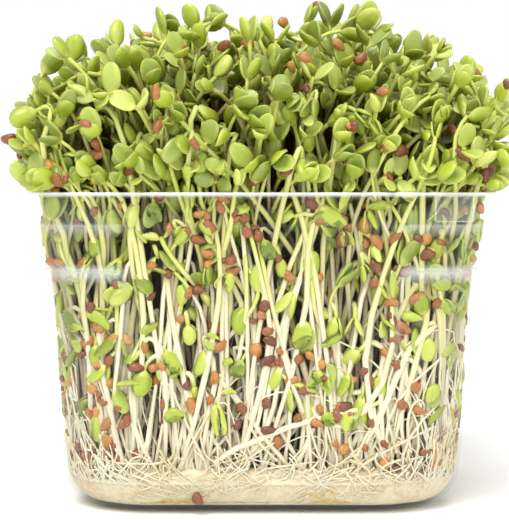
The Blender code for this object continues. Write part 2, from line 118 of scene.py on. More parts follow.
class Shapes:
    """Surfaces on a grid, worked out as whole arrays."""

    @staticmethod
    def strip(rows: int, around: int) -> Array:
        """Triangles of a closed skin: rings of points, with a pole at each end.

        Ring r, place a is point r * around + a. The two poles come after all the rings: first the
        one before the first ring, then the one after the last.

        Args:
            rows: The number of rings.
            around: The points in a ring.

        Returns:
            Triangles that face outwards where the rings turn left as seen from the last pole.
        """
        a = np.arange(around)
        b = (a + 1) % around
        r = np.arange(rows - 1)[:, None] * around
        low_a, low_b, high_a, high_b = r + a, r + b, r + a + around, r + b + around
        sides = np.stack([low_a, low_b, high_b, low_a, high_b, high_a], -1).reshape(-1, 3)
        first, last = rows * around, rows * around + 1
        start = np.stack([np.full(around, first), b, a], -1)
        top = (rows - 1) * around
        end = np.stack([np.full(around, last), top + a, top + b], -1)
        return np.concatenate([sides, start, end])

    @staticmethod
    def repeated(triangles: Array, stride: int, count: int) -> Array:
        """The same triangles for count copies, whose points follow one another by stride."""
        return (triangles[None] + stride * np.arange(count)[:, None, None]).reshape(-1, 3)

    @staticmethod
    def tubes(paths: Array, radii: Array, sides: int) -> Shape:
        """Round tubes along many paths: a ring about each path point, square to the path there.

        Args:
            paths: Path points, shape (tubes, rings, 3).
            radii: A radius for each path point, shape (tubes, rings).
            sides: The points in each ring.

        Returns:
            One shape with all the tubes, and the values "along" (0 to 1) and "tube" (its number).
        """
        count, rings, _ = paths.shape
        tangents = unit(np.gradient(paths, axis=1))
        side = unit(np.cross(tangents[:, 0], [0.31, 0.95, 0.05]))
        turns = 2 * math.pi * np.arange(sides) / sides
        points = np.empty((count, rings * sides + 2, 3))
        for ring in range(rings):
            tangent = tangents[:, ring]
            side = unit(side - tangent * (side * tangent).sum(-1, keepdims=True))
            other = np.cross(tangent, side)
            circle = side[:, None] * np.cos(turns)[:, None]
            circle = circle + other[:, None] * np.sin(turns)[:, None]
            spread = paths[:, ring, None] + circle * radii[:, ring, None, None]
            points[:, ring * sides : (ring + 1) * sides] = spread
        points[:, -2] = paths[:, 0] - tangents[:, 0] * radii[:, 0, None] * 0.5
        points[:, -1] = paths[:, -1] + tangents[:, -1] * radii[:, -1, None] * 0.5
        stride = rings * sides + 2
        along = np.concatenate([np.repeat(np.linspace(0, 1, rings), sides), [0.0, 1.0]])
        return Shape(
            points.reshape(-1, 3),
            Shapes.repeated(Shapes.strip(rings, sides), stride, count),
            {"along": np.tile(along, count), "tube": np.repeat(np.arange(count), stride)},
        )

    @staticmethod
    def curves(start: Array, rise: Array, before: Array, end: Array, times: Array) -> Array:
        """Cubic curves from start to end, pulled through a handle at each end.

        Args:
            start: Where each curve starts, shape (curves, 3).
            rise: From there to the first handle.
            before: From the last handle to the end.
            end: Where each curve ends.
            times: The parameters of the points, from 0 to 1.

        Returns:
            Points, shape (curves, times, 3).
        """
        t = times[None, :, None]
        start, rise, before, end = (part[:, None] for part in (start, rise, before, end))
        return (
            (1 - t) ** 3 * start
            + 3 * (1 - t) ** 2 * t * (start + rise)
            + 3 * (1 - t) * t**2 * (end - before)
            + t**3 * end
        )


def make_piece(
    name: str,
    shape: Shape,
    materials: list[bpy.types.Material],
    material_index: Array | None = None,
) -> bpy.types.Object:
    """A smooth-shaded object at the origin with the shape in its mesh.

    Args:
        name: The piece's name.
        shape: Its points, triangles and values, which become attributes.
        materials: Its material slots.
        material_index: A slot for each triangle, or None for the first.

    Returns:
        The object, already riding on the one body.
    """
    mesh = bpy.data.meshes.new(name)
    count = len(shape.triangles)
    mesh.vertices.add(len(shape.points))
    mesh.vertices.foreach_set("co", shape.points.astype(np.float32).ravel())
    mesh.loops.add(3 * count)
    mesh.loops.foreach_set("vertex_index", shape.triangles.astype(np.int32).ravel())
    mesh.polygons.add(count)
    mesh.polygons.foreach_set("loop_start", np.arange(0, 3 * count, 3, dtype=np.int32))
    for key, values in shape.values.items():
        layer = mesh.attributes.new(key, "FLOAT", "POINT")
        layer.data.foreach_set("value", values.astype(np.float32))
    for material in materials:
        mesh.materials.append(material)
    if material_index is not None:
        mesh.polygons.foreach_set("material_index", material_index.astype(np.int32))
    mesh.update(calc_edges=True)
    mesh.shade_smooth()
    piece = bpy.data.objects.new(name, mesh)
    bpy.context.scene.collection.objects.link(piece)
    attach(piece, BODY)
    return piece


class NodeKit:
    """Builds one material's nodes around its Principled shader."""

    def __init__(self, name: str) -> None:
        """Starts a material with its default shader and output."""
        self.material = bpy.data.materials.new(name)
        self.material.use_nodes = True
        self.tree = self.material.node_tree
        self.shader = self.tree.nodes["Principled BSDF"]
        self.output = self.tree.nodes["Material Output"]

    def node(self, kind: str, **settings: object) -> bpy.types.Node:
        """A new node with its settings."""
        made = self.tree.nodes.new(kind)
        for key, value in settings.items():
            setattr(made, key, value)
        return made

    def link(self, source: Socket, target: Socket) -> None:
        """Joins two sockets."""
        self.tree.links.new(source, target)

    def noise(self, scale: float, detail: float = 4.0, roughness: float = 0.55) -> Socket:
        """Noise on object coordinates, as a number about 0.5."""
        place = self.node("ShaderNodeTexCoord")
        made = self.node("ShaderNodeTexNoise")
        made.inputs["Scale"].default_value = scale
        made.inputs["Detail"].default_value = detail
        made.inputs["Roughness"].default_value = roughness
        self.link(place.outputs["Object"], made.inputs["Vector"])
        return made.outputs["Fac"]

    def attribute(self, name: str) -> Socket:
        """A value kept at the mesh's points."""
        return self.node("ShaderNodeAttribute", attribute_name=name).outputs["Fac"]

    def height(self, low: float, high: float) -> Socket:
        """0 at the lower height to 1 at the upper one."""
        place = self.node("ShaderNodeTexCoord")
        split = self.node("ShaderNodeSeparateXYZ")
        self.link(place.outputs["Object"], split.inputs[0])
        spread = self.node("ShaderNodeMapRange")
        spread.inputs["From Min"].default_value = low
        spread.inputs["From Max"].default_value = high
        self.link(split.outputs["Z"], spread.inputs["Value"])
        return spread.outputs["Result"]

    def sum(self, first: Socket, second: Socket, share: float) -> Socket:
        """first + share * (second - 0.5)."""
        made = self.node("ShaderNodeMath", operation="MULTIPLY_ADD")
        shift = self.node("ShaderNodeMath", operation="ADD")
        made.inputs[1].default_value = share
        self.link(second, made.inputs[0])
        self.link(first, made.inputs[2])
        self.link(made.outputs[0], shift.inputs[0])
        shift.inputs[1].default_value = -share / 2
        return shift.outputs[0]

    def ramp(self, value: Socket, stops: Stops) -> Socket:
        """Colours between stops, each a place from 0 to 1 and a colour."""
        made = self.node("ShaderNodeValToRGB")
        elements = made.color_ramp.elements
        while len(elements) < len(stops):
            elements.new(0.5)
        for element, (place, colour) in zip(elements, stops):
            element.position = place
            element.color = (*colour, 1.0)
        self.link(value, made.inputs["Fac"])
        return made.outputs["Color"]

    def mix(self, factor: Feed, first: Feed, second: Feed, blend: str = "MIX") -> Socket:
        """A blend of two colours, each a socket or fixed."""
        made = self.node("ShaderNodeMix", data_type="RGBA", blend_type=blend)
        for value, place in ((factor, MIX_FACTOR), (first, MIX_FIRST), (second, MIX_SECOND)):
            target = made.inputs[place]
            if isinstance(value, Socket):
                self.link(value, target)
            else:
                target.default_value = (*value, 1.0) if isinstance(value, tuple) else value
        return made.outputs[MIX_RESULT]

    def shaded(self, colour: Feed, deepest_painted_shade: Colour) -> Socket:
        """The colour, darker where the foliage around keeps the light out."""
        light = self.ramp(self.attribute("shade"), ((0.0, deepest_painted_shade), (1.0, (1, 1, 1))))
        return self.mix(1.0, colour, light, "MULTIPLY")

    def bump(self, height: Socket, strength: float, distance: float) -> None:
        """Raises the surface in the shading."""
        made = self.node("ShaderNodeBump")
        made.inputs["Strength"].default_value = strength
        made.inputs["Distance"].default_value = distance
        self.link(height, made.inputs["Height"])
        self.link(made.outputs["Normal"], self.shader.inputs["Normal"])

    def set(self, **values: float) -> None:
        """Sets shader sockets, with _ for a space in their names."""
        for key, value in values.items():
            self.shader.inputs[key.replace("_", " ")].default_value = value


@dataclass(frozen=True)
class LeafFinish:
    """Waxy green seed leaves, from deep to bright, and yellower low in the punnet."""

    deep: Colour = (0.160, 0.225, 0.008)
    fresh: Colour = (0.350, 0.450, 0.014)
    bright: Colour = (0.500, 0.590, 0.068)
    inner_face: Colour = (0.470, 0.570, 0.160)
    yellow: Colour = (0.580, 0.570, 0.090)
    pale: Colour = (0.680, 0.710, 0.180)
    # Painted shade: deep in the foliage the colour is multiplied down towards this.
    deepest_painted_shade: Colour = (0.24, 0.23, 0.06)
    yellow_to: float = 30.0 * MM
    green_from: float = 78.0 * MM
    mottle: float = 420.0
    grain: float = 2600.0
    relief: float = 0.12 * MM

    def material(self) -> bpy.types.Material:
        """Each sprout has its own tone, under a mottle, and height turns it from yellow to green.

        The inner face is a duller green. The edge and the stalk are paler. Painted shade darkens it
        deep in the foliage.
        """
        kit = NodeKit("seed_leaf")
        tone = kit.sum(kit.attribute("tone"), kit.noise(self.mottle, 5), 0.35)
        high_stops = ((0.0, self.deep), (0.4, self.fresh), (0.85, self.bright), (1.0, self.pale))
        low_stops = ((0.0, self.deep), (0.35, self.fresh), (0.75, self.bright), (1.0, self.yellow))
        green, low = kit.ramp(tone, high_stops), kit.ramp(tone, low_stops)
        rise = kit.height(self.yellow_to, self.green_from)
        rise = kit.sum(rise, kit.attribute("tone"), 0.6)
        skin = kit.mix(kit.attribute("inner"), kit.mix(rise, low, green), self.inner_face)
        skin = kit.mix(kit.attribute("pale"), skin, self.pale)
        # Painted shade: darker deep in the foliage.
        kit.link(kit.shaded(skin, self.deepest_painted_shade), kit.shader.inputs["Base Color"])
        kit.bump(kit.noise(self.grain, 3), 0.25, self.relief)
        kit.set(Roughness=0.40, Coat_Weight=0.4, Coat_Roughness=0.22)
        kit.set(Subsurface_Weight=0.10, Subsurface_Scale=0.001)
        return kit.material


@dataclass(frozen=True)
class StemFinish:
    """Smooth juicy stems: white below, cream in the middle, pale green under the leaves."""

    white: Colour = (0.86, 0.78, 0.57)
    cream: Colour = (0.74, 0.69, 0.32)
    pale_green: Colour = (0.72, 0.73, 0.26)
    green: Colour = (0.68, 0.72, 0.22)
    neck: Colour = (0.62, 0.68, 0.15)
    # Painted shade: deep among the stems the colour is multiplied down towards this brown.
    deepest_painted_shade: Colour = (0.105, 0.042, 0.014)
    lowest: float = 8.0 * MM
    highest: float = 102.0 * MM
    mottle: float = 160.0
    grain: float = 1500.0
    relief: float = 0.1 * MM

    def material(self) -> bpy.types.Material:
        """Height sets the colour, from the lowest to the highest place.

        Each stem shifts it, a faint mottle lies over it, and painted shade darkens it deep among
        the stems.
        """
        kit = NodeKit("stem")
        rise = kit.height(self.lowest, self.highest)
        rise = kit.sum(rise, kit.attribute("tone"), 0.35)
        rise = kit.sum(rise, kit.noise(self.mottle, 3), 0.2)
        low_stops = ((0.0, self.white), (0.34, self.white), (0.56, self.cream))
        stops = (*low_stops, (0.74, self.pale_green), (1.0, self.green))
        skin = kit.mix(kit.attribute("pale"), kit.ramp(rise, stops), self.neck)
        # Painted shade: darker deep among the stems and behind the walls.
        kit.link(kit.shaded(skin, self.deepest_painted_shade), kit.shader.inputs["Base Color"])
        kit.bump(kit.noise(self.grain, 2), 0.2, self.relief)
        kit.set(Roughness=0.42, Specular_IOR_Level=0.22)
        kit.set(Subsurface_Weight=0.12, Subsurface_Scale=0.002)
        return kit.material


@dataclass(frozen=True)
class HullFinish:
    """Papery seed hulls, from orange to red-brown, finely wrinkled."""

    dark: Colour = (0.150, 0.040, 0.014)
    brown: Colour = (0.330, 0.100, 0.025)
    orange: Colour = (0.600, 0.270, 0.055)
    blotches: float = 900.0
    wrinkles: float = 1600.0
    relief: float = 0.4 * MM

    def material(self) -> bpy.types.Material:
        """The tone of each hull, with a blotched noise over it."""
        kit = NodeKit("seed_hull")
        tone = kit.sum(kit.attribute("tone"), kit.noise(self.blotches, 4), 0.5)
        skin = kit.ramp(tone, ((0.0, self.dark), (0.5, self.brown), (1.0, self.orange)))
        kit.link(skin, kit.shader.inputs["Base Color"])
        kit.bump(kit.noise(self.wrinkles, 4), 0.9, self.relief)
        kit.set(Roughness=0.4, Coat_Weight=0.5, Coat_Roughness=0.2)
        return kit.material


@dataclass(frozen=True)
class FibreFinish:
    """Moist plant fibre: a pale tone, its shade, and how fine and how deep the tangle is."""

    name: str
    pale: Colour
    shade: Colour
    grain: float
    depth: float

    def material(self) -> bpy.types.Material:
        """Two noises give the tangle and its shade, and the finer one raises it."""
        kit = NodeKit(self.name)
        tangle = kit.sum(kit.noise(self.grain, 8, 0.7), kit.noise(self.grain / 7, 3), 0.9)
        fibre = kit.ramp(tangle, ((0.25, self.shade), (0.55, self.pale)))
        kit.link(fibre, kit.shader.inputs["Base Color"])
        kit.bump(kit.noise(self.grain * 2, 6, 0.7), 0.6, self.depth)
        kit.set(Roughness=0.6, Subsurface_Weight=0.15, Subsurface_Scale=0.002)
        return kit.material


@dataclass(frozen=True)
class ClearFinish:
    """Thin clear moulded plastic: unseen face on, glossy at grazing angles, white at edges.

    The white at the edges is a painted highlight.
    """

    face_on: float = 0.008
    grazing: float = 0.30
    facing_blend: float = 0.10
    # How far the painted edge highlight turns the plastic glossy and white.
    edge: float = 0.85
    # Colours by the edge value: thin for the plain wall; thick and rim are the painted highlight.
    thin: Colour = (0.40, 0.45, 0.40)
    thick: Colour = (0.86, 0.89, 0.87)
    rim: Colour = (0.96, 0.97, 0.96)

    def material(self) -> bpy.types.Material:
        """A mix of clear and glossy, by the angle to the surface and by the value kept at edges.

        That value is a painted highlight, and it sets the colour too, from the wall's faint
        grey-green to the rim's painted white. How much is glossy is the larger of the two: angle
        or edge.
        """
        kit = NodeKit("clear_plastic")
        stops = ((0.0, self.thin), (0.3, self.thick), (0.8, self.rim))
        colour = kit.ramp(kit.attribute("edge"), stops)
        kit.link(colour, kit.shader.inputs["Base Color"])
        kit.set(Roughness=0.06, Specular_IOR_Level=0.7)
        clear = kit.node("ShaderNodeBsdfTransparent")
        facing = kit.node("ShaderNodeLayerWeight")
        facing.inputs["Blend"].default_value = self.facing_blend
        spread = kit.node("ShaderNodeMapRange")
        spread.inputs["To Min"].default_value = self.face_on
        spread.inputs["To Max"].default_value = self.grazing
        kit.link(facing.outputs["Facing"], spread.inputs["Value"])
        # The painted edge highlight, as a share of glossy white.
        edge = kit.node("ShaderNodeMath", operation="MULTIPLY")
        edge.inputs[1].default_value = self.edge
        kit.link(kit.attribute("edge"), edge.inputs[0])
        most = kit.node("ShaderNodeMath", operation="MAXIMUM")
        kit.link(edge.outputs[0], most.inputs[0])
        kit.link(spread.outputs["Result"], most.inputs[1])
        mixed = kit.node("ShaderNodeMixShader")
        kit.link(most.outputs[0], mixed.inputs[0])
        kit.link(clear.outputs[0], mixed.inputs[1])
        kit.link(kit.shader.outputs[0], mixed.inputs[2])
        kit.link(mixed.outputs[0], kit.output.inputs["Surface"])
        return kit.material


@dataclass(frozen=True)
class TraySizes:
    """The punnet's sizes, as its solid has them."""

    height: float = 73.2 * MM
    rim_half: float = 52.5 * MM
    rim_thickness: float = 1.2 * MM
    wall: float = 0.8 * MM
    mouth_half: float = 51.4 * MM
    base_half: float = 46.2 * MM
    fillet: float = 9.0 * MM
    mouth_radius: float = 5.0 * MM
    base_radius: float = 21.0 * MM
    band_height: float = 7.4 * MM
    band_step: float = 0.6 * MM
    ledge_depth: float = 17.9 * MM
    post_inset: float = 1.1 * MM
    post_fades_at: float = 32.0 * MM
    post_fade: float = 10.0 * MM
    post_shoulder: float = 4.0 * MM
    post_from: float = 26.0 * MM
    post_full: float = 30.0 * MM
    least_radius: float = 1.0 * MM
    rim_rounding: float = 0.25 * MM
    step_rise: float = 0.5 * MM
    lug_from: float = 38.0 * MM
    lug_width: float = 8.8 * MM
    lug_height: float = 6.0 * MM
    lug_proud: float = 0.8 * MM
    gap: float = 0.3 * MM

    @property
    def ledge(self) -> float:
        """The height of the ledge that the corner posts end in."""
        return self.height - self.ledge_depth

    @property
    def band(self) -> float:
        """The height of the step under the band below the rim."""
        return self.height - self.band_height

    def post_depth(self, z: Array) -> Array:
        """How much of their inset the posts have at a height: none low down, all near the ledge."""
        return smooth_step(z, self.post_fades_at - self.post_fade, self.ledge - self.post_shoulder)

    def share(self, z: Array) -> Array:
        """How far up the wall a height is: 0 at the top of the fillet, 1 at the rim."""
        return (z - self.fillet) / (self.height - self.fillet)

    def half(self, z: Array) -> Array:
        """Half the plain wall's outside width, straight from base to mouth."""
        return self.base_half + (self.mouth_half - self.base_half) * self.share(z)

    def radius(self, z: Array) -> Array:
        """The plain wall's corner radius, straight from base to mouth."""
        return self.base_radius + (self.mouth_radius - self.base_radius) * self.share(z)

    def keep_inside(self, points: Array, room: Array | float, released: float = 9 * MM) -> Array:
        """Draws points below the rim in until they clear the wall and its posts.

        Each level is a rounded square: first the sides limit x and y, then the corner arcs do.

        Args:
            points: Places, shape (..., 3).
            room: The clearance to the wall's inside, for all or for each place.
            released: How far above the rim a point is free to be anywhere.

        Returns:
            The places, drawn in where they were too far out.
        """
        z = np.clip(points[..., 2], self.fillet * 0.6, None)
        beside = smooth_step(np.abs(points[..., :2]).min(-1), self.post_from, self.post_full)
        above = smooth_step(z, self.ledge + self.step_rise, self.ledge + 4 * self.step_rise)
        on_post = beside * self.post_depth(z) * (1 - above)
        half = self.half(z) - self.wall - self.post_inset * on_post - room
        radius = np.maximum(self.radius(z) - self.wall - room, self.least_radius)
        flat = np.clip(points[..., :2], -half[..., None], half[..., None])
        middle = half - radius
        over = np.maximum(np.abs(flat) - middle[..., None], 0.0)
        length = np.maximum(np.linalg.norm(over, axis=-1), 1e-9)
        pull = np.minimum(1.0, radius / length)[..., None]
        drawn = np.sign(flat) * (np.minimum(np.abs(flat), middle[..., None]) + over * pull)
        weight = 1 - smooth_step(points[..., 2], self.height - 0.5 * MM, self.height + released)
        flat = points[..., :2] + (drawn - points[..., :2]) * weight[..., None]
        return np.concatenate([flat, points[..., 2:]], -1)


@dataclass(frozen=True)
class EdgeHighlights:
    """The painted highlight on the plastic at each edge, and a painted reflection at the corners.

    Each runs from 0 for the plain wall to 1.
    """

    rim: float = 0.75
    rim_from: float = 0.9 * MM
    rim_full: float = 0.3 * MM
    band: float = 0.03
    band_at_corner: float = 0.22
    ledge: float = 0.45
    line: float = 0.5 * MM
    corner_from: float = 29.0 * MM
    corner_full: float = 33.0 * MM
    # A painted highlight down the edges of the corner posts.
    post_highlight: float = 0.8
    # A painted reflection: a whitish veil towards the corners.
    corner_reflection: float = 0.05
    base: float = 0.04
    lug: float = 0.10
    lug_edge: float = 0.5


@dataclass
class Punnet:
    """The clear square tub: one thin skin with posts, a ledge, a band, a rolled rim and lugs."""

    sizes: TraySizes
    finish: ClearFinish
    highlight_values: EdgeHighlights = EdgeHighlights()
    post_half_angle: float = 12.0
    post_edge_angle: float = 1.4
    crease: float = 50.0
    lug_rows: int = 12
    lug_around: int = 30
    lug_squareness: float = 0.12

    def __post_init__(self) -> None:
        """Makes the finish and sets the outline's angles: close together where it turns."""
        self.material = self.finish.material()
        quarter = np.concatenate(
            [
                np.linspace(-31, 31, 11),
                np.linspace(31.6, 33.2, 4),
                np.linspace(34.5, 41.5, 5),
                np.linspace(42.2, 47.8, 9),
                np.linspace(48.5, 55.5, 5),
                np.linspace(56.8, 58.4, 4),
            ]
        )
        self.angles = np.radians((quarter[None] + 90 * np.arange(4)[:, None]).ravel())
        self.on_post = self.post(self.angles)

    def post(self, angles: Array) -> Array:
        """1 on the corner posts, which lie about the diagonals, and 0 between them."""
        far = self.post_half_angle + self.post_edge_angle
        return 1 - smooth_step(np.abs(np.degrees(angles) % 90 - 45), self.post_half_angle, far)

    def reach(self, half: Array, radius: float) -> Array:
        """How far a rounded square reaches from its centre at each angle.

        On a flat side it is half / cos. On a corner arc it is the far crossing of the ray with
        the arc's circle.
        """
        near, far = np.sort(np.abs([np.cos(self.angles), np.sin(self.angles)]), axis=0)
        flat = half - radius
        offset = flat * (far - near)
        arc = flat * (far + near) + np.sqrt(np.maximum(radius**2 - offset**2, 0.0))
        return np.where(half * near / far <= flat, half / far, arc)

    def ring(self, z: float, half: float, radius: float, inset: float = 0.0) -> Array:
        """One outline at height z, with its corner posts set in."""
        distance = self.reach(half - inset * self.on_post, radius)
        x, y = distance * np.cos(self.angles), distance * np.sin(self.angles)
        return np.stack([x, y, np.full_like(distance, z)], -1)

    def base_rings(self, offset: float) -> list[Array]:
        """The rounded base, moved inwards by offset: a quarter circle up to the wall."""
        s = self.sizes
        fillet, flat = s.fillet - offset, s.base_half - s.fillet
        corner = s.base_radius - s.fillet
        turns = np.radians(np.linspace(0, 90, 12))
        steps = zip(fillet * np.sin(turns), fillet * (1 - np.cos(turns)))
        return [self.ring(offset + rise, flat + out, corner + out) for out, rise in steps]

    def wall_rings(self, offset: float) -> list[Array]:
        """The wall above the base: posts that deepen upwards, the ledge they end in, and the band.

        Each of the two steps has four rings within its own rise.
        """
        s, first = self.sizes, 0.12 * MM
        ledge, band = s.ledge, s.band
        posts = np.linspace(s.fillet + 2 * MM, ledge, 16)
        over_ledge = np.linspace(ledge + first, ledge + s.step_rise, 4)
        rings = []
        for z in [*posts, *over_ledge]:
            depth = s.post_depth(np.array(z))
            depth = depth * (1 - smooth_step(np.array(z), ledge, ledge + s.step_rise))
            half, radius = s.half(z) - offset, s.radius(z) - offset
            rings.append(self.ring(z, half, radius, float(depth) * s.post_inset))
        plain = np.linspace(ledge + 2 * MM, band, 4)
        over_band = np.linspace(band + first, band + s.step_rise, 4)
        under_lip = s.height - s.rim_thickness - 0.2 * MM
        for z in [*plain, *over_band, under_lip]:
            out = float(smooth_step(np.array(z), band, band + s.step_rise)) * s.band_step
            rings.append(self.ring(z, s.half(z) + out - offset, s.radius(z) + out - offset))
        return rings

    def rim_rings(self) -> list[Array]:
        """The rim: a flat lip with rounded edges, from under the lip over to the inside."""
        s = self.sizes
        neck, neck_radius = s.mouth_half + s.band_step, s.mouth_radius + s.band_step
        low, high = s.height - s.rim_thickness, s.height
        out, turn = s.rim_half - neck, s.rim_rounding
        bevel = turn * 0.3
        profile = [
            (low, 0.0),
            (low, out - turn),
            (low + bevel, out - bevel),
            (low + turn, out),
            (high - turn, out),
            (high - bevel, out - bevel),
            (high, out - turn),
            (high, turn - s.wall),
            (high - bevel, -s.wall + bevel),
            (high - turn, -s.wall),
        ]
        return [self.ring(z, neck + shift, neck_radius + shift) for z, shift in profile]

    def edges(self, points: Array) -> Array:
        """A value at each point: the largest that rim, band, ledge, posts, corners or base give.

        Band and ledge are lines, which fade by exp(-(distance / width)^2). All are painted
        highlight, and towards the corners painted reflection.
        """
        s, e = self.sizes, self.highlight_values
        z = points[:, 2]
        inner = np.abs(points[:, :2]).min(-1)
        # Painted highlights: the bright line of the rim, and lines at the band and the ledge.
        rim = e.rim * smooth_step(z, s.height - e.rim_from, s.height - e.rim_full)
        corner = smooth_step(inner, e.corner_from, e.corner_full)
        band = (e.band + e.band_at_corner * corner) * np.exp(-(((z - s.band) / e.line) ** 2))
        ledge = e.ledge * corner * np.exp(-(((z - s.ledge - 0.2 * MM) / e.line) ** 2))
        # A painted highlight down the edges of the corner posts.
        post = self.post(np.arctan2(points[:, 1], points[:, 0]))
        below = smooth_step(z, s.post_fades_at, s.post_fades_at + 9 * MM) * (z < s.ledge)
        post_highlight = e.post_highlight * post * (1 - post) * below
        # A painted reflection, whitish towards the corners and higher up the wall.
        reflection_mask = smooth_step(inner, 38 * MM, 45 * MM) * smooth_step(z, 20 * MM, 50 * MM)
        base = e.base * (1 - smooth_step(z, 0.0, s.fillet))
        return np.max([rim, band, ledge, post_highlight, e.corner_reflection * reflection_mask, base], axis=0)

    def lug(self, quarter: int) -> Shape:
        """A flat lug with softened edges, by the right-hand end of a side.

        A rounded box: the points of a ball, with each coordinate raised to a small power and its
        sign kept, so that all of them come near 1.
        """
        s = self.sizes
        top = s.height - s.rim_thickness / 2
        face = s.half(top) + s.band_step
        low = np.array([s.lug_from, -face - s.lug_proud, top - s.lug_height])
        high = np.array([s.lug_from + s.lug_width, -face + s.wall / 2, top])
        v = np.radians(np.linspace(-88, 88, self.lug_rows))[:, None]
        u = np.radians(np.arange(self.lug_around) * 360 / self.lug_around)[None]
        ball = [np.cos(v) * np.cos(u), np.cos(v) * np.sin(u), np.sin(v) + 0 * u]
        ball = [np.sign(c) * np.abs(c) ** self.lug_squareness for c in ball]
        ball = np.stack(ball, -1).reshape(-1, 3)
        ball = np.concatenate([ball, [[0, 0, -1], [0, 0, 1]]])
        points = (low + high) / 2 + ball * (high - low) / 2
        cos, sin = math.cos(math.pi / 2 * quarter), math.sin(math.pi / 2 * quarter)
        spin = np.array([[cos, -sin, 0], [sin, cos, 0], [0, 0, 1]])
        far = np.sort(np.abs(ball), axis=-1)[:, 1]
        # A painted highlight on the lug, whiter at its edges.
        edge = self.highlight_values.lug + self.highlight_values.lug_edge * smooth_step(far, 0.90, 0.99)
        return Shape(points @ spin.T, Shapes.strip(self.lug_rows, self.lug_around), {"edge": edge})

    def build(self) -> bpy.types.Object:
        """The skin from the base's middle, up the outside, over the rim and down the inside."""
        wall = self.sizes.wall
        rings = [
            *self.base_rings(0.0),
            *self.wall_rings(0.0),
            *self.rim_rings(),
            *self.wall_rings(wall)[::-1],
            *self.base_rings(wall)[::-1],
        ]
        points = np.concatenate([*rings, [[0, 0, 0], [0, 0, wall]]])
        triangles = Shapes.strip(len(rings), len(self.angles))
        # The painted highlights and the painted reflection go on the skin as the value "edge".
        skin = Shape(points, triangles, {"edge": self.edges(points)})
        shape = Shape.joined([skin, *[self.lug(quarter) for quarter in range(4)]])
        piece = make_piece("punnet", shape, [self.material])
        piece.data.set_sharp_from_angle(angle=math.radians(self.crease))
        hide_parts("tray")
        return piece


@dataclass(frozen=True)
class BedSizes:
    """The sprouts' sizes and the rule that places them, as the solids have them.

    A zone on the sides says how far out its heads are at most and how far inwards they range, then
    how low they are at least and how far upwards they range.
    """

    grid: int = 5
    pitch: float = 17.0 * MM
    crown_top: float = 11.0 * MM
    crown_ring: float = 3.9 * MM
    root_sink: float = 1.5 * MM
    crowding: float = 1.0 * MM
    seed: int = 22
    count: int = 165
    tries: int = 7000
    most: int = 8
    leaf_length: float = 8.0 * MM
    leaf_width: float = 5.8 * MM
    stem_radius: float = 0.85 * MM
    hull_share: float = 0.2
    hull_on_tip_share: float = 0.4
    hull_up_stem: tuple[float, float] = (0.15, 0.7)
    canopy_edge: float = 94.5 * MM
    canopy_peak: float = 110.5 * MM
    canopy_half: float = 55.0 * MM
    canopy_power: float = 2.2
    zone_shares: tuple[float, float, float, float] = (0.42, 0.33, 0.16, 0.09)
    zone_leans: tuple[float, float, float, float] = (0.70, 0.70, 0.80, 0.80)
    top_spread: float = 0.95
    top_depth: float = 7.0 * MM
    side_zone: tuple[float, float, float, float] = (55.0 * MM, 7.0 * MM, 76.5 * MM, 16.5 * MM)
    below_rim_zone: tuple[float, float, float, float] = (43.0 * MM, 5.0 * MM, 47.5 * MM, 22.5 * MM)
    low_zone: tuple[float, float, float, float] = (41.0 * MM, 4.0 * MM, 25.0 * MM, 22.5 * MM)
    inner_clear: float = 2.2 * MM
    hooked_share: float = 0.5
    hook_pull: float = 9.0 * MM
    hook_down: float = 0.9
    head_wander: float = 0.3
    head_outward: float = 0.5
    side_outward: float = 1.5
    pull_share: float = 0.25
    rise_share: float = 0.5
    rise_wander: float = 2.5 * MM
    openings: tuple[float, float] = (50, 125)
    hooked_openings: tuple[float, float] = (38, 70)
    sizes: tuple[float, float] = (0.8, 1.05)
    cell: float = 0.5 * MM
    point_radius: float = 0.95 * MM
    room_half: float = 66.0 * MM
    room_top: float = 126.0 * MM

    def crowns(self) -> list[tuple[float, float]]:
        """The middles of the root crowns, on a square grid."""
        span = (np.arange(self.grid) - (self.grid - 1) / 2) * self.pitch
        return [(x, y) for y in span for x in span]

    def places(self, centre: tuple[float, float]) -> list[tuple[float, float]]:
        """Where stems leave a crown: one in its middle, and the rest in a ring."""
        turns = 2 * math.pi * np.arange(self.most - 1) / (self.most - 1)
        (x, y), out = centre, self.crown_ring
        return [centre, *[(x + out * math.cos(t), y + out * math.sin(t)) for t in turns]]

    def canopy(self, x: Array, y: Array) -> Array:
        """The canopy's height: a low dome that falls from its middle by a power of the way out."""
        share = np.minimum(1.0, np.maximum(np.abs(x), np.abs(y)) / self.canopy_half)
        rise = self.canopy_peak - self.canopy_edge
        return self.canopy_edge + rise * (1 - share**self.canopy_power)


class Zone(Enum):
    """Where a head may be."""

    TOP = "top"
    SIDE = "side"
    BELOW_RIM = "below_rim"
    LOW = "low"


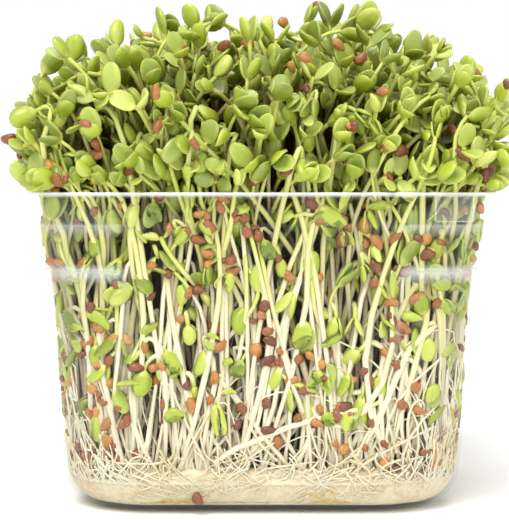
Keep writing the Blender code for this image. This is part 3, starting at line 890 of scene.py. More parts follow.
@dataclass
class Sprout:
    """A stem from its crown to its head, and two seed leaves that open from the head."""

    clump: int
    path: Array
    facing: Array
    split: Array
    opening: float
    size: float
    hull: float

    def points(self, sizes: BedSizes) -> Array:
        """Points down the stem and all over the leaves and the hull, for the clearance test."""
        found = []
        for start, end in zip(self.path[:-1], self.path[1:]):
            steps = max(2, int(np.linalg.norm(end - start) / sizes.point_radius))
            found += [start + (end - start) * i / steps for i in range(steps + 1)]
        length, width = sizes.leaf_length * self.size, sizes.leaf_width * self.size
        across = np.cross(self.facing, self.split)
        half = self.opening / 2
        for side in (1, -1):
            along = math.cos(half) * self.facing + side * math.sin(half) * self.split
            for u in (0.15, 0.35, 0.55, 0.75, 0.95):
                middle = self.path[-1] + along * u * length
                found += [middle + across * v * width for v in (-0.3, 0, 0.3)]
        if self.hull:
            found.append(self.hull_centre(sizes))
        return np.array(found)

    def hull_centre(self, sizes: BedSizes) -> Array:
        """The seed hull sits on a leaf's tip, or lower down against the stem."""
        if self.hull > 1:
            half = self.opening / 2
            along = math.cos(half) * self.facing + math.sin(half) * self.split
            return self.path[-1] + along * sizes.leaf_length * self.size
        place = self.hull * (len(self.path) - 1)
        i = int(place)
        centre = self.path[i] + (self.path[i + 1] - self.path[i]) * (place - i)
        return centre + unit(np.array([*centre[:2], 0.0])) * sizes.stem_radius / 2


@dataclass
class Layout:
    """Places the sprouts that the solids hold, one by one, each clear of those before it."""

    tray: TraySizes
    bed: BedSizes

    def __post_init__(self) -> None:
        """Marks no cell as taken, and works out the ball of cells round a point."""
        tray, bed = self.tray, self.bed
        across = int(2 * bed.room_half / bed.cell)
        self.taken = np.zeros((across, across, int(bed.room_top / bed.cell)), bool)
        reach = (2 * bed.point_radius + tray.gap) / bed.cell + math.sqrt(3) / 2
        span = np.arange(-math.ceil(reach), math.ceil(reach) + 1)
        cube = np.stack(np.meshgrid(span, span, span), -1).reshape(-1, 3)
        self.ball = cube[np.linalg.norm(cube, axis=1) <= reach]

    def cells(self, points: Array) -> Array:
        """The cell that each point is in."""
        half = self.bed.room_half
        return np.floor((points + [half, half, 0.0]) / self.bed.cell).astype(int)

    def inside_punnet(self, points: Array) -> Array:
        """True for points that clear the punnet: within its wall, or above its rim."""
        t, b = self.tray, self.bed
        x, y, z = np.abs(points[:, 0]), np.abs(points[:, 1]), points[:, 2]
        half = t.half(z) - b.inner_clear - t.post_inset
        radius = t.radius(z)
        outside = np.hypot(np.maximum(x - half + radius, 0), np.maximum(y - half + radius, 0))
        within = (np.maximum(x, y) <= half) & (outside <= radius)
        return within | (z > t.height + b.point_radius + t.gap)

    def fits(self, points: Array) -> bool:
        """True if the points are clear of the punnet and of every sprout that is placed."""
        cells = self.cells(points)
        if (cells < 0).any() or (cells >= self.taken.shape).any():
            return False
        return bool(not self.taken[tuple(cells.T)].any() and self.inside_punnet(points).all())

    def take(self, points: Array) -> None:
        """Marks the cells near a placed sprout."""
        around = (self.cells(points)[:, None] + self.ball[None]).reshape(-1, 3)
        around = np.clip(around, 0, np.array(self.taken.shape) - 1)
        self.taken[tuple(around.T)] = True

    def choose_head(self, rng: np.random.Generator) -> tuple[Array, Zone]:
        """A head's place and its zone. The draws come in the same order as in the solids."""
        b = self.bed
        zone = Zone(str(rng.choice([zone.value for zone in Zone], p=b.zone_shares)))
        along, depth = rng.uniform(-1, 1), rng.uniform(0, 1)
        if zone is Zone.TOP:
            x, y = rng.uniform(-1, 1, 2) * b.canopy_half * b.top_spread
            return np.array([x, y, float(b.canopy(x, y)) - depth * b.top_depth]), zone
        quarter = math.pi / 2 * rng.integers(4)
        sides = {Zone.SIDE: b.side_zone, Zone.BELOW_RIM: b.below_rim_zone, Zone.LOW: b.low_zone}
        farthest, inwards, lowest, upwards = sides[zone]
        out, z = farthest - inwards * rng.uniform(0, 1), lowest + upwards * depth
        x, y = along * out, -out
        turned = [
            x * math.cos(quarter) - y * math.sin(quarter),
            x * math.sin(quarter) + y * math.cos(quarter),
        ]
        return np.array([*turned, z]), zone

    def grow(
        self,
        rng: np.random.Generator,
        head: Array,
        zone: Zone,
        places: dict[int, list[tuple[float, float]]],
    ) -> tuple[Sprout, tuple[float, float]]:
        """One sprout for a head: its place on a crown, its stem, and how its leaves open.

        Args:
            rng: The solids' draw.
            head: The head's place.
            zone: Its zone.
            places: The free places of each clump.

        Returns:
            The sprout, and the place that it takes.
        """
        b = self.bed
        ideal = head[:2] * b.zone_leans[list(Zone).index(zone)]
        crowded = {clump: b.most - len(free) for clump, free in places.items()}
        free = [(clump, place) for clump, left in places.items() for place in left]
        clump, place = min(
            free, key=lambda at: math.dist(ideal, at[1]) + b.crowding * crowded[at[0]]
        )
        root = np.array([*place, b.crown_top - b.root_sink])
        outward = np.array([head[0], head[1], 0.0]) / b.canopy_half
        height = head[2] - root[2]
        hooked = zone is Zone.LOW or (zone is Zone.BELOW_RIM and rng.uniform() < b.hooked_share)
        wander = np.append(rng.normal(0, b.head_wander, 2), 0.0)
        if hooked:
            facing = unit(wander * 2 - [0, 0, b.hook_down])
            pull = b.hook_pull
        else:
            away = b.side_outward if zone is Zone.SIDE else b.head_outward
            facing = unit(outward * away + wander + [0, 0, 1.0])
            pull = b.pull_share * height
        rise = np.append(rng.normal(0, b.rise_wander, 2), b.rise_share * height)
        times = np.linspace(0, 1, 6 if hooked else 5)
        path = Shapes.curves(root[None], rise[None], (facing * pull)[None], head[None], times)[0]
        split = unit(np.cross(facing, rng.normal(0, 1, 3)))
        opening = math.radians(rng.uniform(*(b.hooked_openings if hooked else b.openings)))
        size = rng.uniform(*b.sizes)
        hull = 0.0
        if rng.uniform() < b.hull_share:
            hull = 2.0 if rng.uniform() < b.hull_on_tip_share else rng.uniform(*b.hull_up_stem)
        return Sprout(clump, path, facing, split, opening, size, hull), place

    def sprouts(self) -> list[Sprout]:
        """All the sprouts of the solids."""
        b = self.bed
        rng, found = np.random.default_rng(b.seed), []
        places = {clump: b.places(centre) for clump, centre in enumerate(b.crowns())}
        for _ in range(b.tries):
            if len(found) == b.count:
                break
            sprout, place = self.grow(rng, *self.choose_head(rng), places)
            points = sprout.points(b)
            if self.fits(points):
                self.take(points)
                places[sprout.clump].remove(place)
                found.append(sprout)
        return found


@dataclass
class Crop:
    """Many sprouts as arrays, a row for each: where it starts and ends, how it bends and opens."""

    root: Array
    head: Array
    rise: Array
    facing: Array
    pull: Array
    split: Array
    opening: Array
    length: Array
    tone: Array

    @staticmethod
    def joined(crops: list[Crop]) -> Crop:
        """All the crops in one."""
        columns = [[getattr(crop, each.name) for crop in crops] for each in fields(Crop)]
        return Crop(*[np.concatenate(column) for column in columns])

    def __len__(self) -> int:
        """The number of sprouts."""
        return len(self.root)


@dataclass(frozen=True)
class Filling:
    """The finer sprouts of one zone: how many, how far apart, and how they grow.

    They are chosen from tries for each one wanted. A root stands at lean times its head's distance
    from the axis, and strays from there. The closed share has seed leaves that hardly open.
    """

    wanted: int
    tries: int
    apart: float
    lean: float
    stray: float
    closed: float


@dataclass
class SproutBed:
    """All the sprouts: those of the solids, and finer ones that fill the dome and the punnet.

    Each half says how far from the axis a zone's heads, or the foliage, are at most.
    """

    tray: TraySizes
    bed: BedSizes
    seed: int = 7
    leaf_seed: int = 31
    rings: int = 11
    sides: int = 5
    stem_radius: float = 0.68 * MM
    leaf_rows: int = 7
    leaf_around: int = 7
    leaf_length: float = 5.7 * MM
    planned_leaf_length: float = 6.6 * MM
    root_height: float = 9.0 * MM
    foliage_half: float = 57.0 * MM
    dome_half: float = 51.5 * MM
    skirt_half: float = 52.5 * MM
    inner_half: float = 49.5 * MM
    bent_half: float = 44.5 * MM
    bent_count: int = 70
    deepest_layer: float = 3.2 * MM
    root_from_wall: float = 1.6 * MM
    head_from_wall: float = 1.7 * MM
    leaf_from_wall: float = 0.15 * MM
    straying_share: float = 0.16
    straying: float = 3.2
    hook_aside: float = 9.0 * MM
    hook_bend: float = 7.0 * MM
    standing_share: float = 0.05
    standing: float = 2.5 * MM
    dome_top: float = 3.0 * MM
    dome_depth: float = 18.0 * MM
    skirt_depth: float = 9.0 * MM
    skirt_rise: float = 23.0 * MM
    drooping_share: float = 0.3
    inner_depth: float = 6.0 * MM
    inner_fall: float = 48.0 * MM
    hooked_share: float = 0.68
    dome_fill: Filling = Filling(760, 3, apart=4.0 * MM, lean=0.76, stray=4.0 * MM, closed=0.55)
    skirt_fill: Filling = Filling(540, 4, apart=3.1 * MM, lean=0.86, stray=6.5 * MM, closed=0.65)
    inner_fill: Filling = Filling(600, 3, apart=3.7 * MM, lean=0.96, stray=7.0 * MM, closed=0.85)

    def __post_init__(self) -> None:
        """Makes the finishes and lays out every sprout."""
        self.rng = np.random.default_rng(self.seed)
        self.leaf = LeafFinish().material()
        self.stem = StemFinish().material()
        self.planned = Layout(self.tray, self.bed).sprouts()
        zones = [self.from_plan(), self.dome(), self.skirt(), self.inner(), self.bent()]
        self.crop = Crop.joined(zones)
        self.paths = self.stem_paths()

    def from_plan(self) -> Crop:
        """The sprouts of the solids, with finer seed leaves that open a little less.

        The first handle is found from the path's second point, by solving the cubic for it.
        """
        plan = self.planned
        start = np.array([sprout.path[0] for sprout in plan])
        middle = np.array([sprout.path[1] for sprout in plan])
        head = np.array([sprout.path[-1] for sprout in plan])
        facing = np.array([sprout.facing for sprout in plan])
        hooked = facing[:, 2] < 0
        height = head[:, 2] - start[:, 2]
        pull = np.where(hooked, self.bed.hook_pull, self.bed.pull_share * height)
        t = np.where(hooked, 1 / 5, 1 / 4)[:, None]
        before = facing * pull[:, None]
        rest = (1 - t) ** 3 * start + 3 * (1 - t) * t**2 * (head - before) + t**3 * head
        rise = (middle - rest) / (3 * (1 - t) ** 2 * t) - start
        return Crop(
            start,
            head,
            rise,
            facing,
            pull,
            np.array([sprout.split for sprout in plan]),
            np.array([sprout.opening for sprout in plan]) * 0.8,
            self.planned_leaf_length * np.array([sprout.size for sprout in plan]),
            self.rng.uniform(0, 1, len(plan)),
        )

    def spaced(self, heads: Array, apart: float, taken: Array) -> Array:
        """Keeps heads far enough from those taken and from each other, in the order drawn."""
        kept = list(taken)
        first = len(kept)
        for head in heads:
            if (((np.array(kept) - head) ** 2).sum(-1) > apart**2).all():
                kept.append(head)
        return np.array(kept[first:])

    def outward(self, head: Array) -> Array:
        """The way out from the axis, longer towards the sides."""
        return np.column_stack([head[:, :2], np.zeros(len(head))]) / self.bed.canopy_half

    def grown(self, head: Array, facing: Array, fill: Filling, opening: Array) -> Crop:
        """A crop for given heads, with roots drawn in towards the middle.

        One root in six strays three times as far, so that some stems cross the others. A stem whose
        head faces down is hooked: it climbs past the head, to one side of it, and bends over within
        a few millimetres.

        Args:
            head: Where the seed leaves meet the stem.
            facing: The way each head looks.
            fill: The zone's filling, for its lean and how far root and lower handle stray.
            opening: The angle between the two seed leaves.

        Returns:
            The crop.
        """
        rng, count = self.rng, len(head)
        far = np.where(rng.uniform(size=(count, 1)) < self.straying_share, self.straying, 1.0)
        strayed = head[:, :2] * fill.lean + rng.normal(0, fill.stray * 1.2, (count, 2)) * far
        root = np.column_stack([strayed, np.full(count, self.root_height)])
        root = self.tray.keep_inside(root, self.root_from_wall)
        height = head[:, 2] - root[:, 2]
        hooked = facing[:, 2] < 0
        wander = rng.normal(0, fill.stray * 1.5, (count, 2))
        climbing = np.column_stack([wander, self.bed.rise_share * height])
        turn = rng.uniform(0, 2 * math.pi, count)
        aside = np.column_stack([np.cos(turn), np.sin(turn), np.full(count, 0.75)])
        over = head + aside * self.hook_aside - root
        rise = np.where(hooked[:, None], over, climbing)
        pull = np.where(hooked, self.hook_bend, self.bed.pull_share * height)
        split = unit(np.cross(facing, rng.normal(0, 1, (count, 3))))
        sizes = self.leaf_length * (0.7 + 0.62 * rng.uniform(0, 1, count) ** 1.2)
        return Crop(root, head, rise, facing, pull, split, opening, sizes, rng.uniform(0, 1, count))

    def openings(self, count: int, closed: float) -> Array:
        """Angles between seed leaves: a share is nearly closed, and the rest spread out."""
        rng = self.rng
        shut = rng.uniform(size=count) < closed
        return np.radians(np.where(shut, rng.uniform(8, 40, count), rng.uniform(45, 125, count)))

    def dome(self) -> Crop:
        """Heads through the dome, denser near its top, and a few that stand clear of it."""
        rng, b, fill = self.rng, self.bed, self.dome_fill
        draws = fill.wanted * fill.tries
        x, y = rng.uniform(-1, 1, (2, draws)) * self.dome_half
        clear = rng.uniform(size=draws) < self.standing_share
        below = self.dome_top + self.dome_depth * rng.uniform(0, 1, draws) ** 1.5
        head = np.column_stack([x, y, b.canopy(x, y) - np.where(clear, -self.standing, below)])
        taken = np.array([sprout.path[-1] for sprout in self.planned])
        head = self.spaced(head, fill.apart, taken)[: fill.wanted]
        count = len(head)
        facing = unit(self.outward(head) * 0.7 + rng.normal(0, 0.55, (count, 3)) + [0, 0, 0.75])
        return self.grown(head, facing, fill, self.openings(count, fill.closed))

    def around(self, count: int, out: Array) -> Array:
        """Places round the four sides, each at its distance out, and denser towards corners."""
        along, quarter = self.rng.uniform(-1, 1, count), self.rng.integers(0, 4, count)
        along = np.sign(along) * np.abs(along) ** 0.78 * out
        x, y = along, -out
        turns = [(x, y), (-y, x), (-x, -y), (y, -x)]
        return np.stack([np.choose(quarter, [turn[i] for turn in turns]) for i in (0, 1)], -1)

    def skirt(self) -> Crop:
        """Heads on the sides of the dome, from the rim up, and clear of the rim itself."""
        rng, rim, fill = self.rng, self.tray.height, self.skirt_fill
        draws = fill.wanted * fill.tries
        out = self.skirt_half - self.skirt_depth * rng.uniform(0, 1, draws) ** 1.4
        z = rim - 2 * MM + self.skirt_rise * rng.uniform(0, 1, draws) ** 1.7
        lifted = np.maximum(z, rim + 1.5 * MM + 3 * MM * rng.uniform(0, 1, draws))
        z = np.where(out > 46 * MM, lifted, z)
        drawn = np.column_stack([self.around(draws, out), z])
        head = self.spaced(drawn, fill.apart, np.zeros((1, 3)))[: fill.wanted]
        count = len(head)
        droops = rng.uniform(size=count) < self.drooping_share
        drooping = droops & (head[:, 2] > rim + 6 * MM)
        tilt = np.where(drooping[:, None], [0, 0, -1.0], [0, 0, 0.75])
        facing = unit(self.outward(head) * 0.8 + rng.normal(0, 0.45, (count, 3)) + tilt)
        return self.grown(head, facing, fill, self.openings(count, fill.closed))

    def inner(self) -> Crop:
        """Heads behind the clear walls, hooked or upright, most of them just below the rim."""
        rng, fill = self.rng, self.inner_fill
        draws = fill.wanted * fill.tries
        out = self.inner_half - self.inner_depth * rng.uniform(0, 1, draws) ** 1.5
        z = self.tray.height - 2 * MM - self.inner_fall * rng.uniform(0, 1, draws) ** 1.6
        drawn = np.column_stack([self.around(draws, out), z])
        head = self.tray.keep_inside(drawn, self.head_from_wall)
        head = self.spaced(head, fill.apart, np.zeros((1, 3)))[: fill.wanted]
        count = len(head)
        hooked = rng.uniform(size=count) < self.hooked_share
        wander = rng.normal(0, 0.45, (count, 3))
        facing = unit(wander + np.where(hooked[:, None], [0, 0, -1.0], [0, 0, 0.8]))
        crop = self.grown(head, facing, fill, self.openings(count, fill.closed))
        crop.length *= 1.08
        return crop

    def bent(self) -> Crop:
        """Sprouts by the walls that grew down first: their foot is a U that hangs among stems."""
        rng, wanted = self.rng, self.bent_count
        foot = self.around(wanted, self.bent_half - 4 * MM * rng.uniform(0, 1, wanted))
        root = np.column_stack([foot, rng.uniform(26, 44, wanted) * MM])
        root = self.tray.keep_inside(root, 1.5 * MM)
        side = unit(np.column_stack([-foot[:, 1], foot[:, 0]])) * rng.choice([-1, 1], (wanted, 1))
        shift = side * rng.uniform(9, 20, (wanted, 1)) * MM
        head = np.column_stack([foot + shift, rng.uniform(62, 72, wanted) * MM])
        head = self.tray.keep_inside(head, 5 * MM)
        rise = np.column_stack([shift * 0.25, -rng.uniform(38, 56, wanted) * MM])
        facing = unit(rng.normal(0, 0.25, (wanted, 3)) + [0, 0, 1])
        pull = rng.uniform(40, 52, wanted) * MM
        split = unit(np.cross(facing, rng.normal(0, 1, (wanted, 3))))
        sizes = np.full(wanted, self.leaf_length)
        tone = rng.uniform(0, 1, wanted)
        return Crop(root, head, rise, facing, pull, split, self.openings(wanted, 0.8), sizes, tone)

    def stem_paths(self) -> Array:
        """Every stem's path: a cubic curve, with a slow sideways wave that dies out at both ends.

        The rings lie closer together towards the head, where a hook is tight. The stems of the
        solids hardly wave. Each of the rest keeps its own room to the wall along its middle.
        """
        crop, rng = self.crop, self.rng
        times = 1 - (1 - np.linspace(0, 1, self.rings)) ** 1.35
        before = crop.facing * crop.pull[:, None]
        paths = Shapes.curves(crop.root, crop.rise, before, crop.head, times)
        count, planned = len(crop), len(self.planned)
        size = rng.uniform(0.4, 3.0, count) * MM
        size[:planned] = 0.2 * MM
        phase, ways = rng.uniform(0, 2 * math.pi, (2, count))
        wave = np.sin(2 * math.pi * 1.4 * times + phase[:, None]) * size[:, None]
        wave = np.sin(math.pi * times) ** 2 * wave
        paths[..., 0] += wave * np.cos(ways)[:, None]
        paths[..., 1] += wave * np.sin(ways)[:, None]
        layer = rng.uniform(0, self.deepest_layer, count)[:, None]
        layer[:planned] = 0.0
        middle = np.sin(math.pi * np.clip(times * 1.15, 0, 1))
        return self.tray.keep_inside(paths, self.stem_radius + 0.1 * MM + layer * middle)

    def shade(self, points: Array) -> Array:
        """How open to the light each point is: 1 at the outside of the foliage, 0 deep inside it.

        It falls off within 8 mm behind the walls and within 21 mm in the dome.
        """
        t = self.tray
        out, z = np.abs(points[:, :2]).max(-1), points[:, 2]
        wall = t.half(z) - t.wall
        spread = smooth_step(z, t.height - 4 * MM, t.height + 10 * MM)
        foliage = wall + (self.foliage_half - wall) * spread
        over = self.bed.canopy(points[:, 0], points[:, 1]) + 4 * MM - z
        reach = 8 * MM + 13 * MM * smooth_step(z, t.height - 3 * MM, t.height + 6 * MM)
        return 1 - smooth_step(np.minimum(foliage - out, over) / reach, 0.1, 1.0)

    def leaf_form(self) -> tuple[Array, Array, Array, Array]:
        """One seed leaf in its own axes: along, across and towards its inner face.

        The outline is a narrow stalk that widens into an oval: (1 - |2t - 1|^2.3)^0.5. Across it, a
        rounded outer face and a nearly flat inner one with a groove down its middle.

        Returns:
            Four arrays of shape (rows, around): how far along, for a length of 1, how far across
            and how thick, for a width of 1, and the angle round the section.
        """
        u = (1 - np.cos(math.pi * np.arange(1, self.leaf_rows + 1) / (self.leaf_rows + 1))) / 2
        t = np.clip((u - 0.08) / 0.92, 0, 1) ** 0.92
        oval = np.sqrt(np.maximum(1 - np.abs(2 * t - 1) ** 2.3, 0))
        width = np.maximum(oval, 0.15 * (1 - smooth_step(u, 0.1, 0.4)))[:, None]
        v = 2 * math.pi * (np.arange(self.leaf_around) + 0.5) / self.leaf_around
        across = np.cos(v) * width / 2
        outer = np.minimum(np.sin(v), 0) * width * 0.22
        inner = np.maximum(np.sin(v), 0) * width * (0.02 + 0.08 * np.cos(v) ** 2)
        u, v = np.broadcast_to(u[:, None], across.shape), np.broadcast_to(v, across.shape)
        return u, across, outer + inner, v

    def leaves(self, chosen: Array) -> Shape:
        """Both seed leaves of the chosen sprouts, cupped across and curled along their length."""
        crop, rng = self.crop, np.random.default_rng(self.leaf_seed)
        u, across, depth, v = self.leaf_form()
        total, count = len(crop), len(chosen)
        wide, cup = rng.uniform(0.58, 0.76, total), rng.uniform(0.04, 0.24, total)
        curl = rng.uniform(-0.16, 0.12, total)
        made = []
        for side in (1, -1):
            half = crop.opening[chosen, None] / 2
            facing, split = crop.facing[chosen], crop.split[chosen]
            ahead = np.cos(half) * facing + side * np.sin(half) * split
            inward = np.sin(half) * facing - side * np.cos(half) * split
            sideways = np.cross(ahead, inward)
            length = crop.length[chosen, None, None]
            width = length * wide[chosen, None, None]
            cupped = cup[chosen, None, None] * (2 * across) ** 2 * width
            curled = curl[chosen, None, None] * u**2 * length
            lift = depth * width + cupped + curled
            head = crop.head[chosen] - facing * 0.5 * MM + side * split * 0.25 * MM
            grid = (
                head[:, None, None]
                + ahead[:, None, None] * (u * length)[..., None]
                + sideways[:, None, None] * (across * width)[..., None]
                + inward[:, None, None] * lift[..., None]
            )
            bend = inward * (curl * crop.length)[chosen, None]
            tip = head + ahead * crop.length[chosen, None] + bend
            parts = [grid.reshape(count, -1, 3), head[:, None], tip[:, None]]
            made.append(np.concatenate(parts, 1))
        stride = self.leaf_rows * self.leaf_around + 2
        points = np.concatenate(made).reshape(-1, 3)
        points = self.tray.keep_inside(points, self.leaf_from_wall, 0.5 * MM)
        skin = Shapes.strip(self.leaf_rows, self.leaf_around)
        triangles = Shapes.repeated(skin, stride, 2 * count)
        tone = np.tile(crop.tone[chosen], 2) + rng.normal(0, 0.06, 2 * count)
        inner = np.append((0.5 * np.maximum(np.sin(v), 0) ** 0.5 * (u > 0.15)).ravel(), [0, 0])
        pale = np.maximum(0.45 * np.abs(np.cos(v)) ** 6, 0.9 * (1 - smooth_step(u, 0.08, 0.3)))
        pale = np.append(pale.ravel(), [1, 0.4])
        values = {
            "tone": np.repeat(tone, stride),
            "shade": self.shade(points),
            "inner": np.tile(inner, 2 * count),
            "pale": np.tile(pale, 2 * count),
        }
        return Shape(points, triangles, values)

    def stems(self, chosen: Array) -> Shape:
        """The stems of the chosen sprouts, thinner towards the head and tapered at the root."""
        t = np.linspace(0, 1, self.rings)
        thick = (1.14 - 0.42 * smooth_step(t, 0.0, 0.95)) * (0.55 + 0.45 * smooth_step(t, 0.0, 0.2))
        girth = self.crop.tone[chosen] * 0.4 + 0.80
        radii = self.stem_radius * girth[:, None] * thick[None]
        shape = Shapes.tubes(self.paths[chosen], radii, self.sides)
        along = shape.values["along"]
        values = {
            "tone": self.crop.tone[chosen][shape.values["tube"].astype(int)],
            "shade": self.shade(shape.points),
            "inner": np.zeros_like(along),
            "pale": smooth_step(along, 0.62, 0.88),
        }
        return Shape(shape.points, shape.triangles, values)

    def build(self) -> list[bpy.types.Object]:
        """One piece for each root crown, with all the sprouts whose roots are nearest to it."""
        crowns = np.array(self.bed.crowns())
        apart = np.linalg.norm(self.crop.root[:, None, :2] - crowns[None], axis=-1)
        nearest = np.argmin(apart, axis=1)
        nearest[: len(self.planned)] = [sprout.clump for sprout in self.planned]
        pieces = []
        for number in range(len(crowns)):
            chosen = np.flatnonzero(nearest == number)
            stems, leaves = self.stems(chosen), self.leaves(chosen)
            shape = Shape.joined([stems, leaves])
            index = np.repeat([0, 1], [len(stems.triangles), len(leaves.triangles)])
            piece = make_piece(f"clump_{number + 1:02d}", shape, [self.stem, self.leaf], index)
            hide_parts(f"sprouts_{number + 1:02d}")
            pieces.append(piece)
        return pieces


@dataclass
class SeedHulls:
    """Empty seed coats: caught on leaf tips, held among the stems and fallen on the mat."""

    bed: SproutBed
    seed: int = 11
    rows: int = 5
    around: int = 7
    length: float = 3.5 * MM
    width: float = 2.6 * MM
    thickness_share: float = 0.76
    hollow: float = 0.18
    from_wall: float = 1.3 * MM
    tip_count: int = 90
    stem_count: int = 700
    mat_count: int = 190
    fallen: tuple[float, float, float] = (-14.6 * MM, -44.2 * MM, 3.6 * MM)

    def __post_init__(self) -> None:
        """Makes the finish."""
        self.rng = np.random.default_rng(self.seed)
        self.material = HullFinish().material()

    def tips(self, chosen: Array) -> Array:
        """The tips of the chosen sprouts' first seed leaves."""
        crop = self.bed.crop
        half = crop.opening[chosen, None] / 2
        ahead = np.cos(half) * crop.facing[chosen] + np.sin(half) * crop.split[chosen]
        return crop.head[chosen] + ahead * crop.length[chosen, None] * 0.92

    def of_solids(self) -> Array:
        """The hulls that the solids have, on a leaf's tip or against a stem."""
        plan, sizes = self.bed.planned, self.bed.bed
        on_tip = np.array([i for i, sprout in enumerate(plan) if sprout.hull > 1])
        on_stem = np.array([sprout.hull_centre(sizes) for sprout in plan if 0 < sprout.hull < 1])
        return np.concatenate([self.tips(on_tip), on_stem])

    def on_tips(self, wanted: int) -> Array:
        """Places at the tips of seed leaves in the dome's outer layer."""
        crop, b = self.bed.crop, self.bed.bed
        depth = b.canopy(crop.head[:, 0], crop.head[:, 1]) - crop.head[:, 2]
        out = np.abs(crop.head[:, :2]).max(-1)
        shown = np.flatnonzero(((depth < 5 * MM) | (out > 47 * MM)) & (crop.head[:, 2] > 76 * MM))
        return self.tips(self.rng.choice(shown, wanted, replace=False))

    def among_stems(self, wanted: int) -> Array:
        """Places against stems behind the walls, from the mat to just above the rim."""
        paths = self.bed.paths[:, 1:-1].reshape(-1, 3)
        out = np.abs(paths[:, :2]).max(-1)
        edge = self.bed.tray.half(paths[:, 2]) - out
        shown = paths[(edge < 5 * MM) & (paths[:, 2] < 82 * MM) & (paths[:, 2] > 14 * MM)]
        chosen = shown[self.rng.choice(len(shown), wanted, replace=False)]
        outward = unit(chosen * [1, 1, 0]) * 2.2 * MM
        chosen = chosen + outward + self.rng.normal(0, 1.2 * MM, (wanted, 3))
        return self.bed.tray.keep_inside(chosen, self.from_wall)

    def on_mat(self, wanted: int) -> Array:
        """Places along the foot of the walls, on the root mat."""
        out = 44.5 * MM - 6 * MM * self.rng.uniform(0, 1, wanted) ** 1.5
        place = self.bed.around(wanted, out)
        z = self.rng.uniform(10.4, 17.0, wanted) * MM
        return self.bed.tray.keep_inside(np.column_stack([place, z]), self.from_wall)

    def build(self) -> bpy.types.Object:
        """All the hulls: kidney-shaped ovals, one end blunter, bent round a hollow side.

        Along the hull s runs from -1 to 1, the girth is sqrt(1 - s^2) with more at the blunt end,
        and the axis bends as s^2. One more lies on the pad, behind the front wall.
        """
        groups = [
            self.of_solids(),
            self.on_tips(self.tip_count),
            self.among_stems(self.stem_count),
            self.on_mat(self.mat_count),
            [self.fallen],
        ]
        centres = np.concatenate(groups)
        rng, count = self.rng, len(centres)
        s = -np.cos(math.pi * np.arange(1, self.rows + 1) / (self.rows + 1))
        girth = np.sqrt(1 - s**2) * (1 + 0.18 * s)
        v = 2 * math.pi * np.arange(self.around) / self.around
        axes = np.linalg.qr(rng.normal(size=(count, 3, 3)))[0]
        axes[np.linalg.det(axes) < 0, 2] *= -1
        size = rng.uniform(0.72, 1.22, count)
        bend = self.hollow * self.width
        x = s[:, None] * self.length / 2 + 0 * v
        y = girth[:, None] * np.cos(v) * self.width / 2 + bend * s[:, None] ** 2
        z = girth[:, None] * np.sin(v) * self.width / 2 * self.thickness_share
        poles = [[-self.length / 2, bend, 0], [self.length / 2, bend, 0]]
        form = np.concatenate([np.stack([x, y, z], -1).reshape(-1, 3), poles])
        points = centres[:, None] + np.einsum("vi,cij->cvj", form, axes) * size[:, None, None]
        points = self.bed.tray.keep_inside(points.reshape(-1, 3), 0.1 * MM, 0.5 * MM)
        triangles = Shapes.repeated(Shapes.strip(self.rows, self.around), len(form), count)
        tone = np.repeat(rng.uniform(0, 1, count), len(form))
        piece = make_piece("seed_hulls", Shape(points, triangles, {"tone": tone}), [self.material])
        return piece


@dataclass(frozen=True)
class Hairs:
    """A kind of fine wandering root: its typical length and half thickness at the start.

    Hug is its clearance to the wall that it is pressed out to, and dip is how much it turns down
    at each step.
    """

    reach: float
    radius: float
    hug: float
    dip: float = 0.0


PAD_FELT = FibreFinish("pad_felt", (0.80, 0.70, 0.49), (0.62, 0.47, 0.26), 700, 0.6 * MM)
MAT_FIBRE = FibreFinish("root_mat_fibre", (0.80, 0.71, 0.51), (0.60, 0.45, 0.25), 900, 0.5 * MM)
ROOT_THREAD = FibreFinish("root_thread", (0.84, 0.76, 0.56), (0.78, 0.64, 0.38), 500, 0.1 * MM)
GOLDEN_ROOT = FibreFinish("golden_root", (0.74, 0.52, 0.16), (0.52, 0.32, 0.07), 900, 0.1 * MM)


